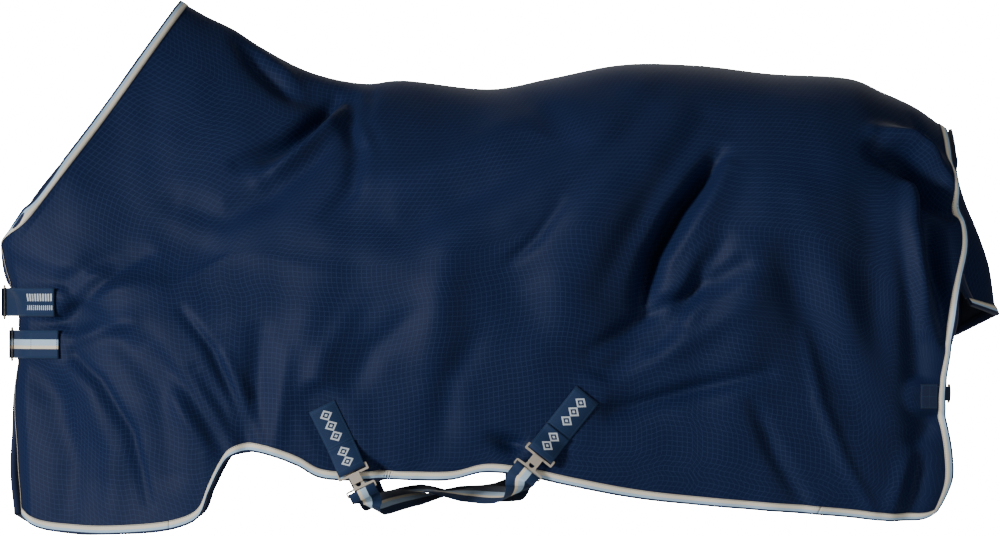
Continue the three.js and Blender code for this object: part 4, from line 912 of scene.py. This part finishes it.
for name, side in (("left", -1), ("right", 1)):
    t = line(0, CHEST_T, 2 * ARC)
    neck = edge_strip(f"neck_tape_{name}", 0 * t, t, 1.0, 0.0, side)
    placed(neck, binding_tape, ROOT, f"neck_binding_{name}")
    t = line(CHEST_T, 1, ARC)
    chest = edge_strip(f"chest_tape_{name}", 0 * t, t, 1.0, 0.0, side)
    s = line(0, ARCH_S, ARC)
    foot = edge_strip(f"chest_hem_tape_{name}", s, 0 * s + 1, 0.0, -1.0, side)
    placed(chest, binding_tape, ROOT, f"chest_binding_{name}")
    placed(foot, binding_tape, ROOT, f"chest_binding_{name}")
    s = line(ARCH_S, CORNER_S, 3 * ARC)
    hem = edge_strip(f"hem_tape_{name}", s, 0 * s + 1, 0.0, -1.0, side)
    placed(hem, binding_tape, ROOT, f"hem_binding_{name}")
    s = line(CORNER_S, 1, ARC)
    low = edge_strip(f"rear_hem_tape_{name}", s, 0 * s + 1, 0.0, -1.0, side)
    t = line(0, 1, 2 * ARC)
    rear = edge_strip(f"rear_tape_{name}", 0 * t + 1, t, -1.0, 0.0, side)
    placed(low, binding_tape, ROOT, f"rear_binding_{name}")
    placed(rear, binding_tape, ROOT, f"rear_binding_{name}")
print("bindings done")


# %% [markdown]
# ## Webbing tabs
# The surcingle tabs are polyester webbing 50 mm wide, sewn flat to the cloth at one end
# and looped round the hook's bar at the other. A flat section is carried along the
# tab's line, which is drawn in the fitting's own frame.

# %% Webbing colours and motifs
TEAL = (0.0015, 0.021, 0.078, 1)
PALE = (0.62, 0.68, 0.74, 1)
STRIPE_BLUE = (0.50, 0.68, 0.86, 1)
STRIPE_CREAM = (0.90, 0.80, 0.62, 1)
WEB, WEB_WIDTH = 0.0018, 0.05


def diamonds(first, last, pitch, half, rim=0.62):
    """A row of outlined diamonds down the middle, with a small solid one inside each."""
    def motif(f, u, v):
        from_first = f.math("PINGPONG", f.math("SUBTRACT", u, first), pitch / 2)
        reach = f.math("MULTIPLY", from_first, 2 / pitch)
        side = f.math("MULTIPLY", f.math("ABSOLUTE", v), 1 / half)
        size = f.math("ADD", f.math("SUBTRACT", 1.0, reach), side)
        ring = f.between(size, rim, 1.0)
        seed = f.math("LESS_THAN", size, 0.28)
        mask = f.math("MULTIPLY", f.math("MAXIMUM", ring, seed), f.between(u, first, last))
        return mask, PALE
    return motif


def woven_bars(u_low, u_high, rows):
    """Rows of short upright bars: generic woven marks in place of any wording."""
    def motif(f, u, v):
        mask = None
        for middle, half, pitch, share in rows:
            bar = f.math("LESS_THAN", f.math("PINGPONG", u, pitch / 2), pitch / 2 * share)
            row = f.math("MULTIPLY", bar, f.between(v, middle - half, middle + half))
            mask = row if mask is None else f.math("MAXIMUM", mask, row)
        return f.math("MULTIPLY", mask, f.between(u, u_low, u_high)), PALE
    return motif


STITCH = (0.012, 0.045, 0.11, 1)
side_rows = [(True, k * 0.0222, 0.0, 1.0, STITCH) for k in (-1, 1)]

def diamonds_on_both(run, end):
    """The same diamonds on the tab and on the end that is stitched back over it."""
    lower = diamonds(0.008, end, 0.02, 0.012)
    upper = diamonds(run - 0.042, run - 0.002, 0.02, 0.012)
    return lambda f, u, v: (f.math("MAXIMUM", lower(f, u, v)[0], upper(f, u, v)[0]), PALE)


stripes = [(-0.0086, 0.0022, STRIPE_BLUE), (0.0022, 0.0081, STRIPE_CREAM)]
striped_web = banded("striped_webbing", stripes, TEAL)
striped_tab_web = banded("striped_tab_webbing", stripes, TEAL,
                         stitches=side_rows + [(False, p, -0.022, 0.022, STITCH) for p in (0.003, 0.058)])
LABEL_ROWS = [(-0.0085, 0.0065, 0.0058, 0.6), (0.0095, 0.0042, 0.0046, 0.5)]  # middle, half, pitch, share
label_web = banded("label_webbing", [], TEAL, motif=woven_bars(0.003, 0.06, LABEL_ROWS),
                   stitches=side_rows + [(False, p, -0.022, 0.022, STITCH) for p in (0.0025, 0.046)])
plain_web = banded("plain_webbing", [], TEAL)
black_web = banded("black_webbing_weave", [], (0.006, 0.006, 0.008, 1))


# %% [markdown]
# A tab runs flat on the cloth, round the hook frame's bar and back over itself, so its
# path is drawn with a half turn about the bar. The plate's loop is made the same way.

# %% Surcingle tabs
CLIP_HEIGHT, TAB_CLEAR, PLATE = 0.012, 0.0007, 0.0024
FRAME_BAR, SLOT, LOWER_BAR = 0.0036, 0.0052, 0.004
LOOP_REACH = math.hypot(FRAME_BAR, FRAME_BAR) / 2 + GAP + WEB / 2
STUD_Z = -FRAME_BAR / 2 - SLOT - LOWER_BAR - 0.0085
PLATE_BAR = STUD_Z - 0.0165 - 0.0044
LOOP_END = PLATE_BAR - 0.0036 - 0.012
STRAP_UNDER = -PLATE / 2 - 0.0005 - WEB - 0.0007 - WEB


def half_turn(a, b, radius, sign, steps=12):
    """Points of a half circle about (a, b), from its -a side over +b or -b."""
    w = np.linspace(0, math.pi, steps)
    return np.stack([a - radius * np.cos(w), b + sign * radius * np.sin(w)], axis=1)


def local_path(place, yz):
    yz = np.asarray(yz, float)
    return place.at(np.column_stack([np.zeros(len(yz)), yz]))


for name, place in near_place.items():
    seat = TAB_CLEAR + WEB / 2 - CLIP_HEIGHT
    r = LOOP_REACH
    over = seat + WEB + 0.001
    flat = [(seat, TAB_LONG[name]), (seat, 0.08), (seat, 0.034), ((seat - r) / 2, 0.016), (-r, 0.005)]
    folded = [(r, 0.005), ((seat + r) / 2 + 0.0024, 0.018), (over, 0.034), (over, 0.046)]
    control = np.vstack([flat, half_turn(0, 0, r, -1)[1:-1], folded])
    path, _ = dense_curve(control, 5)
    tab = sweep(f"surcingle_{name}_tab_web", local_path(place, path), place.x, tape_section(WEB_WIDTH, WEB))
    run = np.linalg.norm(np.diff(path, axis=0), axis=1).sum()
    ends = (0.0035, TAB_LONG[name] - 0.05, run - 0.0435)
    surcingle_web = banded(f"surcingle_{name}_webbing", [], TEAL, motif=diamonds_on_both(run, 0.068),
                           stitches=side_rows + [(False, p, -0.022, 0.022, STITCH) for p in ends])
    placed(tab, surcingle_web, ROOT, f"surcingle_{name}_tab")
    r = PLATE / 2 + 0.0005 + WEB / 2
    path = np.vstack([[(-r, LOOP_END)], half_turn(0, PLATE_BAR - 0.0005, r, 1, 14), [(r, LOOP_END)]])
    route = local_path(place, path)
    loop = sweep(f"surcingle_{name}_loop_web", route, place.x, tape_section(WEB_WIDTH, WEB))
    placed(loop, striped_web, f"surcingle_{name}_plate_end", f"surcingle_{name}_loop")
print("tabs and loops done")


# %% [markdown]
# ## Belly straps
# Each strap runs from its clip under the belly to the other side, and the two cross in
# the middle. It leaves the clip along the tab, turns under, and lies flat at the
# crossing. The route is a smooth curve through a few points, with a width direction at
# each.

# %% Belly straps
BAR_X, BAR_Z = (-0.0305, 0.1557), -0.857  # hook bars, as shares of length and drop
CROSS_AHEAD, SAG, BETWEEN = 0.016, 0.047, 0.005  # crossing: ahead of the middle, below the bar, apart
CROSS_X = sum(BAR_X) / 2 * LENGTH - CROSS_AHEAD
CROSS_Z = BAR_Z * DROP + RISE - SAG
ROLL = 0.75  # how far the straps roll on their way to the crossing, as a slope
SINKING = ((.015, .009, .15), (.06, .015, .35), (.16, .014, .55), (.32, .009, .78), (.6, .003, .95))


def half_route(place, crossing):
    """Points and width directions from the clip to the crossing. Between them the strap
    sinks at once below the clip, then flattens out."""
    start, bend = place.at([(0, STRAP_UNDER, LOOP_END + z) for z in (0.006, -0.004)])
    level = unit((crossing - bend) * (1, 1, 0))
    flat = np.array([-level[1], level[0], 0])
    flat = -flat if flat @ place.x < 0 else flat
    points, wide = [start, bend], [place.x, place.x]
    for k, drop, share in SINKING:
        p = bend + (crossing - bend) * k
        p[2] = bend[2] + (crossing[2] - bend[2]) * share - drop
        points.append(p)
        level_width = unit(place.x + (flat - place.x) * min(1, k * 3.2 + 0.25))
        wide.append(unit(level_width + (0, 0, math.copysign(ROLL * (1 - k ** 4), flat[1]))))
    return points + [crossing], wide + [flat]


for name, rise in (("front", -BETWEEN / 2), ("rear", BETWEEN / 2)):
    near, off = near_place[name], off_place[name]
    crossing = np.array([CROSS_X, 0, CROSS_Z + rise])
    points, wide = half_route(near, crossing)
    back_points, back_wide = half_route(off, crossing)
    seat = TAB_CLEAR + WEB + 0.0006 + WEB / 2 - CLIP_HEIGHT
    up = off.at([(0, STRAP_UNDER, -0.006), (0, STRAP_UNDER, 0.05), (0, seat, 0.068), (0, seat, 0.078)])
    points = points + back_points[::-1][1:-1] + list(up)
    turned = 1 if back_wide[-1] @ wide[-1] > 0 else -1
    wide = wide + [turned * w for w in back_wide[::-1][1:-1]] + [turned * off.x] * 4
    path, run = dense_curve(np.array(points), 14)
    at, given = np.linspace(0, len(points) - 1, len(path)), np.arange(len(points))
    across = np.stack([np.interp(at, given, k) for k in np.array(wide).T], axis=1)
    strap = sweep(f"surcingle_{name}_strap_web", path, across, tape_section(WEB_WIDTH, WEB))
    strap.data.materials.append(striped_web)
    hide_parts(f"surcingle_{name}_strap")
    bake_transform(strap)
    flat = [(TAB_CLEAR + WEB / 2 - CLIP_HEIGHT, z) for z in np.linspace(0.044, 0.104, 12)]
    pad = sweep(f"surcingle_{name}_off_web", local_path(off, flat), off.x, tape_section(0.07, WEB))
    placed(pad, plain_web, ROOT, f"surcingle_{name}_off_tab")
    print(name, "strap", round(float(run[-1]), 3), "m long")
print("belly straps done")


# %% [markdown]
# ## Metal
# The fittings are die-cast and nickel plated, with a warm cast. Their solids already
# have the right shape, so a copy is welded and given small rounded edges that catch the
# light. Rings are bent rod, so they are a round section carried round a closed line.

# %% Nickel
def nickel_finish():
    f = Finish("warm_nickel", Metallic=0.8, Roughness=0.36)
    f.bump(f.noise(900.0, 3.0), 0.08, 0.0003)
    return f.color(f.blend(f.noise(45.0, 3.0), (0.82, 0.71, 0.57, 1), (0.95, 0.87, 0.76, 1)))


nickel = nickel_finish()


def metal_copy(node, width=0.0005):
    """A welded copy of a solid with its edges bevelled, ready to stand for it."""
    source = frame["nodes"][node]
    mesh = source.data.copy()
    made = bpy.data.objects.new(f"{node}_metal", mesh)
    bpy.context.scene.collection.objects.link(made)
    bm = bmesh.new()
    bm.from_mesh(mesh)
    bmesh.ops.remove_doubles(bm, verts=bm.verts, dist=1e-6)
    bmesh.ops.dissolve_limit(bm, angle_limit=0.02, verts=bm.verts, edges=bm.edges)
    bm.to_mesh(mesh)
    bm.free()
    mesh.polygons.foreach_set("use_smooth", np.full(len(mesh.polygons), True))
    mesh.set_sharp_from_angle(angle=math.radians(40))
    edge = made.modifiers.new("edges", "BEVEL")
    edge.width, edge.segments, edge.limit_method, edge.angle_limit = width, 2, "ANGLE", math.radians(40)
    return placed(made, nickel, body_of_node(node), node)


bodies = frame["record"]["behaviour"]["bodies"]
body_of_node = lambda node: next(b for b, nodes in bodies.items() if node in nodes)
for name in ("front", "rear"):
    for part in ("hook", "plate", "slider"):
        metal_copy(f"surcingle_{name}_{part}")
for level in ("upper", "lower"):
    metal_copy(f"chest_{level}_snap")
    metal_copy(f"chest_{level}_gate", 0.0002)


def rounded_rectangle(wide, high, radius, steps=8):
    """Closed line round a rectangle with quarter-circle corners."""
    out = []
    for k, (sx, sy) in enumerate(((1, 1), (-1, 1), (-1, -1), (1, -1))):
        w = np.linspace(k * math.pi / 2, (k + 1) * math.pi / 2, steps)
        middle = (sx * (wide / 2 - radius), sy * (high / 2 - radius))
        out.append(middle + radius * np.stack([np.cos(w), np.sin(w)], axis=1))
    return np.concatenate(out)


for level in ("upper", "lower"):
    low, high = (np.array(v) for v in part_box(f"chest_{level}_ring"))
    mid, size = (low + high) / 2, high - low
    bar = size[0] / 2
    line2 = rounded_rectangle(size[1] - 2 * bar, size[2] - 2 * bar, 0.004)
    path = np.column_stack([np.full(len(line2), mid[0]), mid[1] + line2[:, 0], mid[2] + line2[:, 1]])
    ring = sweep(f"chest_{level}_ring_rod", path, np.array([1.0, 0, 0]), round_section(bar, 12), closed=True)
    placed(ring, nickel, f"chest_{level}_clip", f"chest_{level}_ring")

for side in ("left", "right"):
    hinge, face = joints[f"legstrap_ring_{side}_swing"], mounts[f"leg_ring_{side}"]
    y_dir, z_dir = np.array(face["axis"]), np.array(hinge["axis"])
    x_dir = np.cross(y_dir, z_dir)
    half, bow, bar = 0.0139, 0.022, 0.0032
    w = np.linspace(-math.pi / 2, math.pi / 2, 25)
    bend = np.stack([bow - half + (half + bar / 2) * np.cos(w), (half + bar / 2) * np.sin(w)], axis=1)
    straight = np.column_stack([np.zeros(12), np.linspace(half + bar / 2, -half - bar / 2, 12)])
    line2 = np.vstack([straight, bend[1:-1]])
    path = np.array(hinge["pos_m"]) + line2[:, :1] * x_dir + line2[:, 1:2] * z_dir
    dee = sweep(f"legstrap_dee_{side}_rod", path, y_dir, round_section(bar / 2, 12), closed=True)
    placed(dee, nickel, f"legstrap_ring_{side}", f"legstrap_dee_{side}")
print("metal done")


# %% [markdown]
# ## Chest tabs
# The two chest tabs lie on the near shoulder and turn round the chest fold to their
# rings. They follow the cloth, so each is a small grid on the panel's surface, lifted
# clear of it, that ends in a loop about the ring's bar.

# %% Chest tabs and straps
def share_at_height(s, z):
    """Share t at which the surface at share s has fallen to height z, by halving."""
    low, high = np.full(np.shape(z), 0.3), np.full(np.shape(z), 0.999)
    for _ in range(26):
        mid = (low + high) / 2
        above = half_rug(s, mid)[..., 2] > z
        low, high = np.where(above, mid, low), np.where(above, high, mid)
    return low


def share_at_x(x, z, first=0.09, last=0.42):
    """Shares s at which the cloth at the heights z has run back to x, by halving."""
    low, high = np.full(np.shape(z), first), np.full(np.shape(z), last)
    for _ in range(26):
        mid = (low + high) / 2
        before = half_rug(mid, share_at_height(mid, z))[..., 0] < x
        low, high = np.where(before, mid, low), np.where(before, high, mid)
    return low


def wrapped_tab(name, side, width, end_x, bar, first_y, radius, lift, thick=WEB):
    """Grid of points over the cloth from end_x to the chest front, then a half turn about
    the bar at (x, y). Rows are stations along the tab, columns go down its width."""
    across = np.linspace(-width / 2, width / 2, 9)
    z = bar[2] - across
    s_end = share_at_x(end_x, z)
    side_rows = s_end + (0.09 - s_end) * np.linspace(0, 1, 14)[:, None]
    front_rows = np.linspace(0.082, 0.034, 5)[:, None] + 0 * s_end
    rows = []
    for s in np.concatenate([side_rows, front_rows]):
        t = share_at_height(s, z)
        row = half_rug(s, t) + outward_at(s, t, -1) * lift
        row[:, 2] = z
        if row[:, 1].mean() < first_y:
            rows.append(row)
    turn = half_turn(bar[0], bar[1], radius, 1, 12)[::-1]
    loop = [np.column_stack([np.full(9, x), np.full(9, y), z]) for x, y in turn]
    back = np.column_stack([np.full(9, bar[0] - radius), np.full(9, bar[1] - 0.008), z])
    grid = np.array(rows + loop + [back])
    if side > 0:
        grid = grid * (1, -1, 1)
    out = normals_of(grid, 1.0)
    top, under = grid + out * thick / 2, grid - out * thick / 2
    steps = np.linalg.norm(np.diff(grid, axis=0), axis=2)
    run = np.concatenate([np.zeros((1, 9)), np.cumsum(steps, axis=0)])
    uv = np.stack(np.broadcast_arrays(run, across[None, :]), axis=-1)
    return closed_cloth(name, top, under, uv)


RING_REACH_OUT = math.hypot(0.004, 0.004) / 2 + GAP + WEB / 2
LIFT = 0.0042  # middle of the tabs and straps above the cloth
for level, end, material in (("upper", -0.3265, label_web), ("lower", -0.3225, striped_tab_web)):
    bar = np.array(joints[f"chest_{level}_clip_swing"]["pos_m"])
    tab = wrapped_tab(f"chest_{level}_tab_web", -1, WEB_WIDTH, end * LENGTH, bar, bar[1] - 0.01,
                      RING_REACH_OUT, LIFT)
    placed(tab, material, ROOT, f"chest_{level}_tab")
    eye = np.array([bar[0], -(bar[1] + 0.022 + 0.0323), bar[2]])
    radius = math.hypot(0.0034, 0.0032) / 2 + GAP + WEB / 2
    strap = wrapped_tab(f"chest_{level}_strap_web", 1, 0.02, -0.345 * LENGTH, eye, eye[1] - 0.012,
                        radius, LIFT)
    strap.data.materials.append(black_web)
    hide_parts(f"chest_{level}_strap", f"chest_{level}_loop")
    start, end = ((bar[0], -eye[1] + y, bar[2]) for y in (0.004, 0.03))
    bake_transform(strap)
    print(level, "tab and strap", len(tab.data.polygons), len(strap.data.polygons))


# %% [markdown]
# ## Leg strap fixings
# Above each back leg a stitched patch holds a webbing loop, and the loop holds a ring.

# %% Leg strap patches and loops
def find_place(x, z):
    """Shares (s, t) of the place at (x, z) in the side view, by Newton's steps."""
    s, t, h = 0.9, 0.75, 1e-4
    for _ in range(40):
        here, ds, dt = (half_rug(*v) for v in ((s, t), (s + h, t), (s, t + h)))
        ds, dt = (ds - here) / h, (dt - here) / h
        det = ds[0] * dt[2] - dt[0] * ds[2]
        ex, ez = x - here[0], z - here[2]
        s = float(np.clip(s + 0.7 * (ex * dt[2] - dt[0] * ez) / det, 0.1, 0.997))
        t = float(np.clip(t + 0.7 * (ds[0] * ez - ex * ds[2]) / det, 0.02, 0.997))
    return s, t


patch_cloth = banded("stitched_patch", [], (0.006, 0.017, 0.064, 1), rib=0.0009,
                     stitches=[(True, k, 0.0015, 0.0285, STITCH) for k in (0.002, 0.0205, 0.039)]
                     + [(False, k, 0.0015, 0.0395, STITCH) for k in (0.002, 0.015, 0.028)])
for side, sign in (("left", -1), ("right", 1)):
    low, high = (np.array(v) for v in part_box(f"legstrap_patch_{side}"))
    corners = [find_place(x, z) for z in (high[2], low[2]) for x in (low[0], high[0])]
    a, b = np.linspace(0, 1, 16)[:, None], np.linspace(0, 1, 22)[None, :]
    weights = [(1 - a) * (1 - b), a * (1 - b), (1 - a) * b, a * b]
    s, t = (sum(w * c[k] for w, c in zip(weights, corners)).ravel() for k in (0, 1))
    base, out = lifted_points(s, t, sign), outward_at(s, t, sign)
    grid = lambda h: (base + out * h).reshape(16, 22, 3)
    top, under = grid(0.0017), grid(0.0005)
    uv = np.stack(np.broadcast_arrays(a * 0.03, b * 0.041), axis=-1)
    if sign > 0:
        top, under, uv = top[::-1], under[::-1], uv[::-1]
    patch = closed_cloth(f"legstrap_patch_{side}_cloth", top, under, uv)
    placed(patch, patch_cloth, ROOT, f"legstrap_patch_{side}")


# %% [markdown]
# ## Tail flap
# The flap hangs from the top of the rear edge and covers the tail. Its ridge stands off
# the horse and its sides fall away, so it is a half round at the seam that opens out to
# a shallow curve at its bound lower edge.

# %% Tail flap
FLAP_HALF, FLAP_END_HALF, FLAP_BACK = 0.118, 0.092, 0.0113
FLAP_RIDGE = [(0.566, -0.127), (0.572, -0.222), (0.579, -0.267), (0.593, -0.336), (0.603, -0.407),
              (0.609, -0.498), (0.613, -0.52)]
FLAP_SIDE = {-1: [(0.563, -0.28), (0.567, -0.38), (0.574, -0.45), (0.584, -0.497)],
             1: [(0.578, -0.33), (0.58, -0.4), (0.577, -0.49), (0.573, -0.567)]}


def seam_point(y):
    """Rear edge's place at a half width y, by reading the edge's own curve backwards."""
    t = np.linspace(0, ARCH_T, 400)
    edge = half_rug(1.0, t)
    return np.stack([np.interp(y, -edge[:, 1], edge[:, k]) for k in (0, 2)], axis=-1)


corner = seam_point(np.array(FLAP_HALF))
ridge = outline(FLAP_RIDGE, LENGTH, DROP)
sides = {k: outline([(corner[0] / LENGTH + 0.004, (corner[1] - RISE) / DROP), *v], LENGTH, DROP)
         for k, v in FLAP_SIDE.items()}


def tail_flap_face(u, v):
    """Outer face over u from the near edge (-1) to the off edge (1) and v down: a mix of
    side and ridge lines by cos(u * 90 degrees), drawn on to the seam near the top."""
    u, v = np.broadcast_arrays(u, v)
    share = np.cos(u * math.pi / 2)

    def hung(down):
        near, off, top = sides[-1](down), sides[1](down), ridge(down)
        side = [np.where(u < 0, near[k], off[k]) for k in (0, 1)]
        return np.stack([side[k] * (1 - share) + top[k] * share for k in (0, 1)], axis=-1) + (0, RISE)

    seam = seam_point(np.abs(u) * FLAP_HALF) + (FLAP_BACK, 0)
    free = ease(np.clip(v / 0.4, 0, 1))[..., None]
    xz = hung(v) + (seam - hung(np.zeros_like(v))) * (1 - free)
    y = (FLAP_HALF + (FLAP_END_HALF - FLAP_HALF) * v) * u
    return np.stack([xz[..., 0], y, xz[..., 1]], axis=-1)


U, V = np.linspace(-1, 1, 97)[:, None], np.linspace(0, 1, 90)[None, :]
face = tail_flap_face(U, V)
away = normals_of(face, -1.0)
away *= np.sign(away[48, 45, 0])
ripple = 1.5 * mm * np.sin(V * 9 + U * 2) * ease(np.clip(V / 0.3, 0, 1))
ripple = (ripple - 1.1 * mm * np.exp(-((U / 0.02) ** 2)))[..., None]  # less the middle seam's groove
uv = cloth_lengths(face)
FLAP_SHELL, FLAP_LINING = 0.003, 0.002
flap = closed_cloth("tail_flap_cloth", face + away * ripple, face + away * (ripple - FLAP_SHELL), uv)


def flexible(obj, material, *nodes):
    """Flap cloth: gets its finish, hides the solids it stands for, and has its place baked into its points.
    """
    obj.data.materials.append(material)
    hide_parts(*nodes)
    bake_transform(obj)


flexible(flap, outer_cloth, "tail_flap_outer")
inner = face + away * (ripple - FLAP_SHELL - GAP)
flap_lining = closed_cloth("tail_flap_lining_cloth", inner, inner - away * FLAP_LINING, uv)
flexible(flap_lining, lining_cloth, "tail_flap_lining")
flat = (round(float(np.ptp(uv[..., 0])), 2), round(float(uv[..., 1].max()), 2))

navy_tape = banded("navy_edge_tape", [], (0.006, 0.017, 0.064, 1))
lifted = face + away * ripple
inset_cols, inset_rows = (round(BINDING / (size / (count - 1))) for size, count in zip(flat, face.shape))
flap_layers = FLAP_SHELL + GAP + FLAP_LINING
foot = channel_object("tail_flap_foot_tape", lifted[:, -1], lifted[:, -1 - inset_rows],
                      smooth_rows(away[:, -2]), flap_layers)
flexible(foot, binding_tape, "tail_flap_binding")
for tag, edge_at, inner_at in (("near", 0, inset_cols), ("off", -1, -1 - inset_cols)):
    edge, inset, normal = (k[:-inset_rows] for k in (lifted[edge_at], lifted[inner_at], away[inner_at]))
    strip = channel_object(f"tail_flap_{tag}_tape", edge, inset, smooth_rows(normal), flap_layers)
    flexible(strip, navy_tape, "tail_flap_binding")


# %% [markdown]
# ## What stays as a solid
# The back seam's tape and the leg strap loops are right as they are. They only get a
# woven finish that reads object coordinates, because the solids have no UV map.

# %% Finishes for the solids that stay
def object_weave(name, tint):
    f = Finish(name, Roughness=0.75, Sheen_Weight=0.1)
    f.bump(f.noise(1500.0, 1.0), 0.2, 0.0004)
    dark = tuple(c * 0.6 for c in tint[:3]) + (1,)
    return f.color(f.blend(f.noise(300.0, 2.0), tint, dark))


seam_tape = object_weave("seam_tape", (0.01, 0.02, 0.05, 1))
loop_weave = object_weave("loop_weave", TEAL)
for node, obj in frame["nodes"].items():
    if obj.hide_render:
        continue
    finish = loop_weave if "loop" in node else seam_tape
    obj.data.materials.clear()
    obj.data.materials.append(finish)
    print("solid kept", node)

# %% [markdown]
# ## Light, floor and camera
# Soft light from the front and above, as in a studio, with a pale floor far below, where
# the horse would stand. The camera is level and far off, on the rug's near side.

# %% Studio
def area_light(name, at, aim, size, power):
    data = bpy.data.lights.new(name, "AREA")
    data.shape, data.size, data.energy = "SQUARE", size, power
    obj = bpy.data.objects.new(name, data)
    obj.location = at
    way = Vector(aim) - Vector(at)
    obj.rotation_euler = way.to_track_quat("-Z", "Y").to_euler()
    bpy.context.scene.collection.objects.link(obj)


area_light("key", (-10.4, -8.2, 0.8), (0.1, -0.2, -0.35), 3.2, 1640)
area_light("fill", (3.4, -4.2, -0.2), (0.3, -0.2, -0.4), 2.4, 34)
area_light("top", (0.3, -1.5, 3.4), (0.3, 0, -0.2), 2.0, 14)
area_light("rim", (0.6, 3.0, 1.2), (0.3, 0, -0.2), 2.5, 22)

world = bpy.data.worlds.new("pale_room")
bpy.context.scene.world = world
world.use_nodes = True
back = world.node_tree.nodes["Background"]
back.inputs[0].default_value = (1, 1, 1, 1)
rays = world.node_tree.nodes.new("ShaderNodeLightPath")
level = world.node_tree.nodes.new("ShaderNodeMapRange")
level.inputs["To Min"].default_value = 0.085
level.inputs["To Max"].default_value = 30.0
world.node_tree.links.new(rays.outputs["Is Camera Ray"], level.inputs["Value"])
world.node_tree.links.new(level.outputs[0], back.inputs[1])

FLOOR_Z, FLOOR_HALF = -1.56, 6.0
floor_corners = [(x * FLOOR_HALF, y * FLOOR_HALF, FLOOR_Z) for x, y in ((-1, -1), (1, -1), (1, 1), (-1, 1))]
floor = mesh_object("floor", np.array(floor_corners), [[0, 1, 2, 3]])
pale = Finish("pale_floor", Roughness=0.9, Base_Color=(0.85, 0.85, 0.84, 1))
floor.data.materials.append(pale.material)
floor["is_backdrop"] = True

# %% [markdown]
# A long lens from 20 m keeps the sides nearly parallel. Its focal length is the sensor's
# width times the distance over the width to take in.

# %% Camera
DISTANCE = 20.0
TAKEN_IN = LENGTH * 0.992
camera_data = bpy.data.cameras.new("camera")
camera_data.sensor_width = 36
camera_data.lens = camera_data.sensor_width * DISTANCE / TAKEN_IN
camera_data.clip_end = 200
camera = bpy.data.objects.new("camera", camera_data)
camera.location = (0.115 * LENGTH, -DISTANCE - 0.15, -0.418 * DROP + RISE)
camera.rotation_euler = (math.pi / 2, 0, 0)
bpy.context.scene.collection.objects.link(camera)
bpy.context.scene.camera = camera
print("lens", round(camera_data.lens, 1), "mm at", DISTANCE, "m")

# %% [markdown]
# The box round everything shown, less the floor, is worked out at the end.

# %% Sizes and finish
low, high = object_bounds()
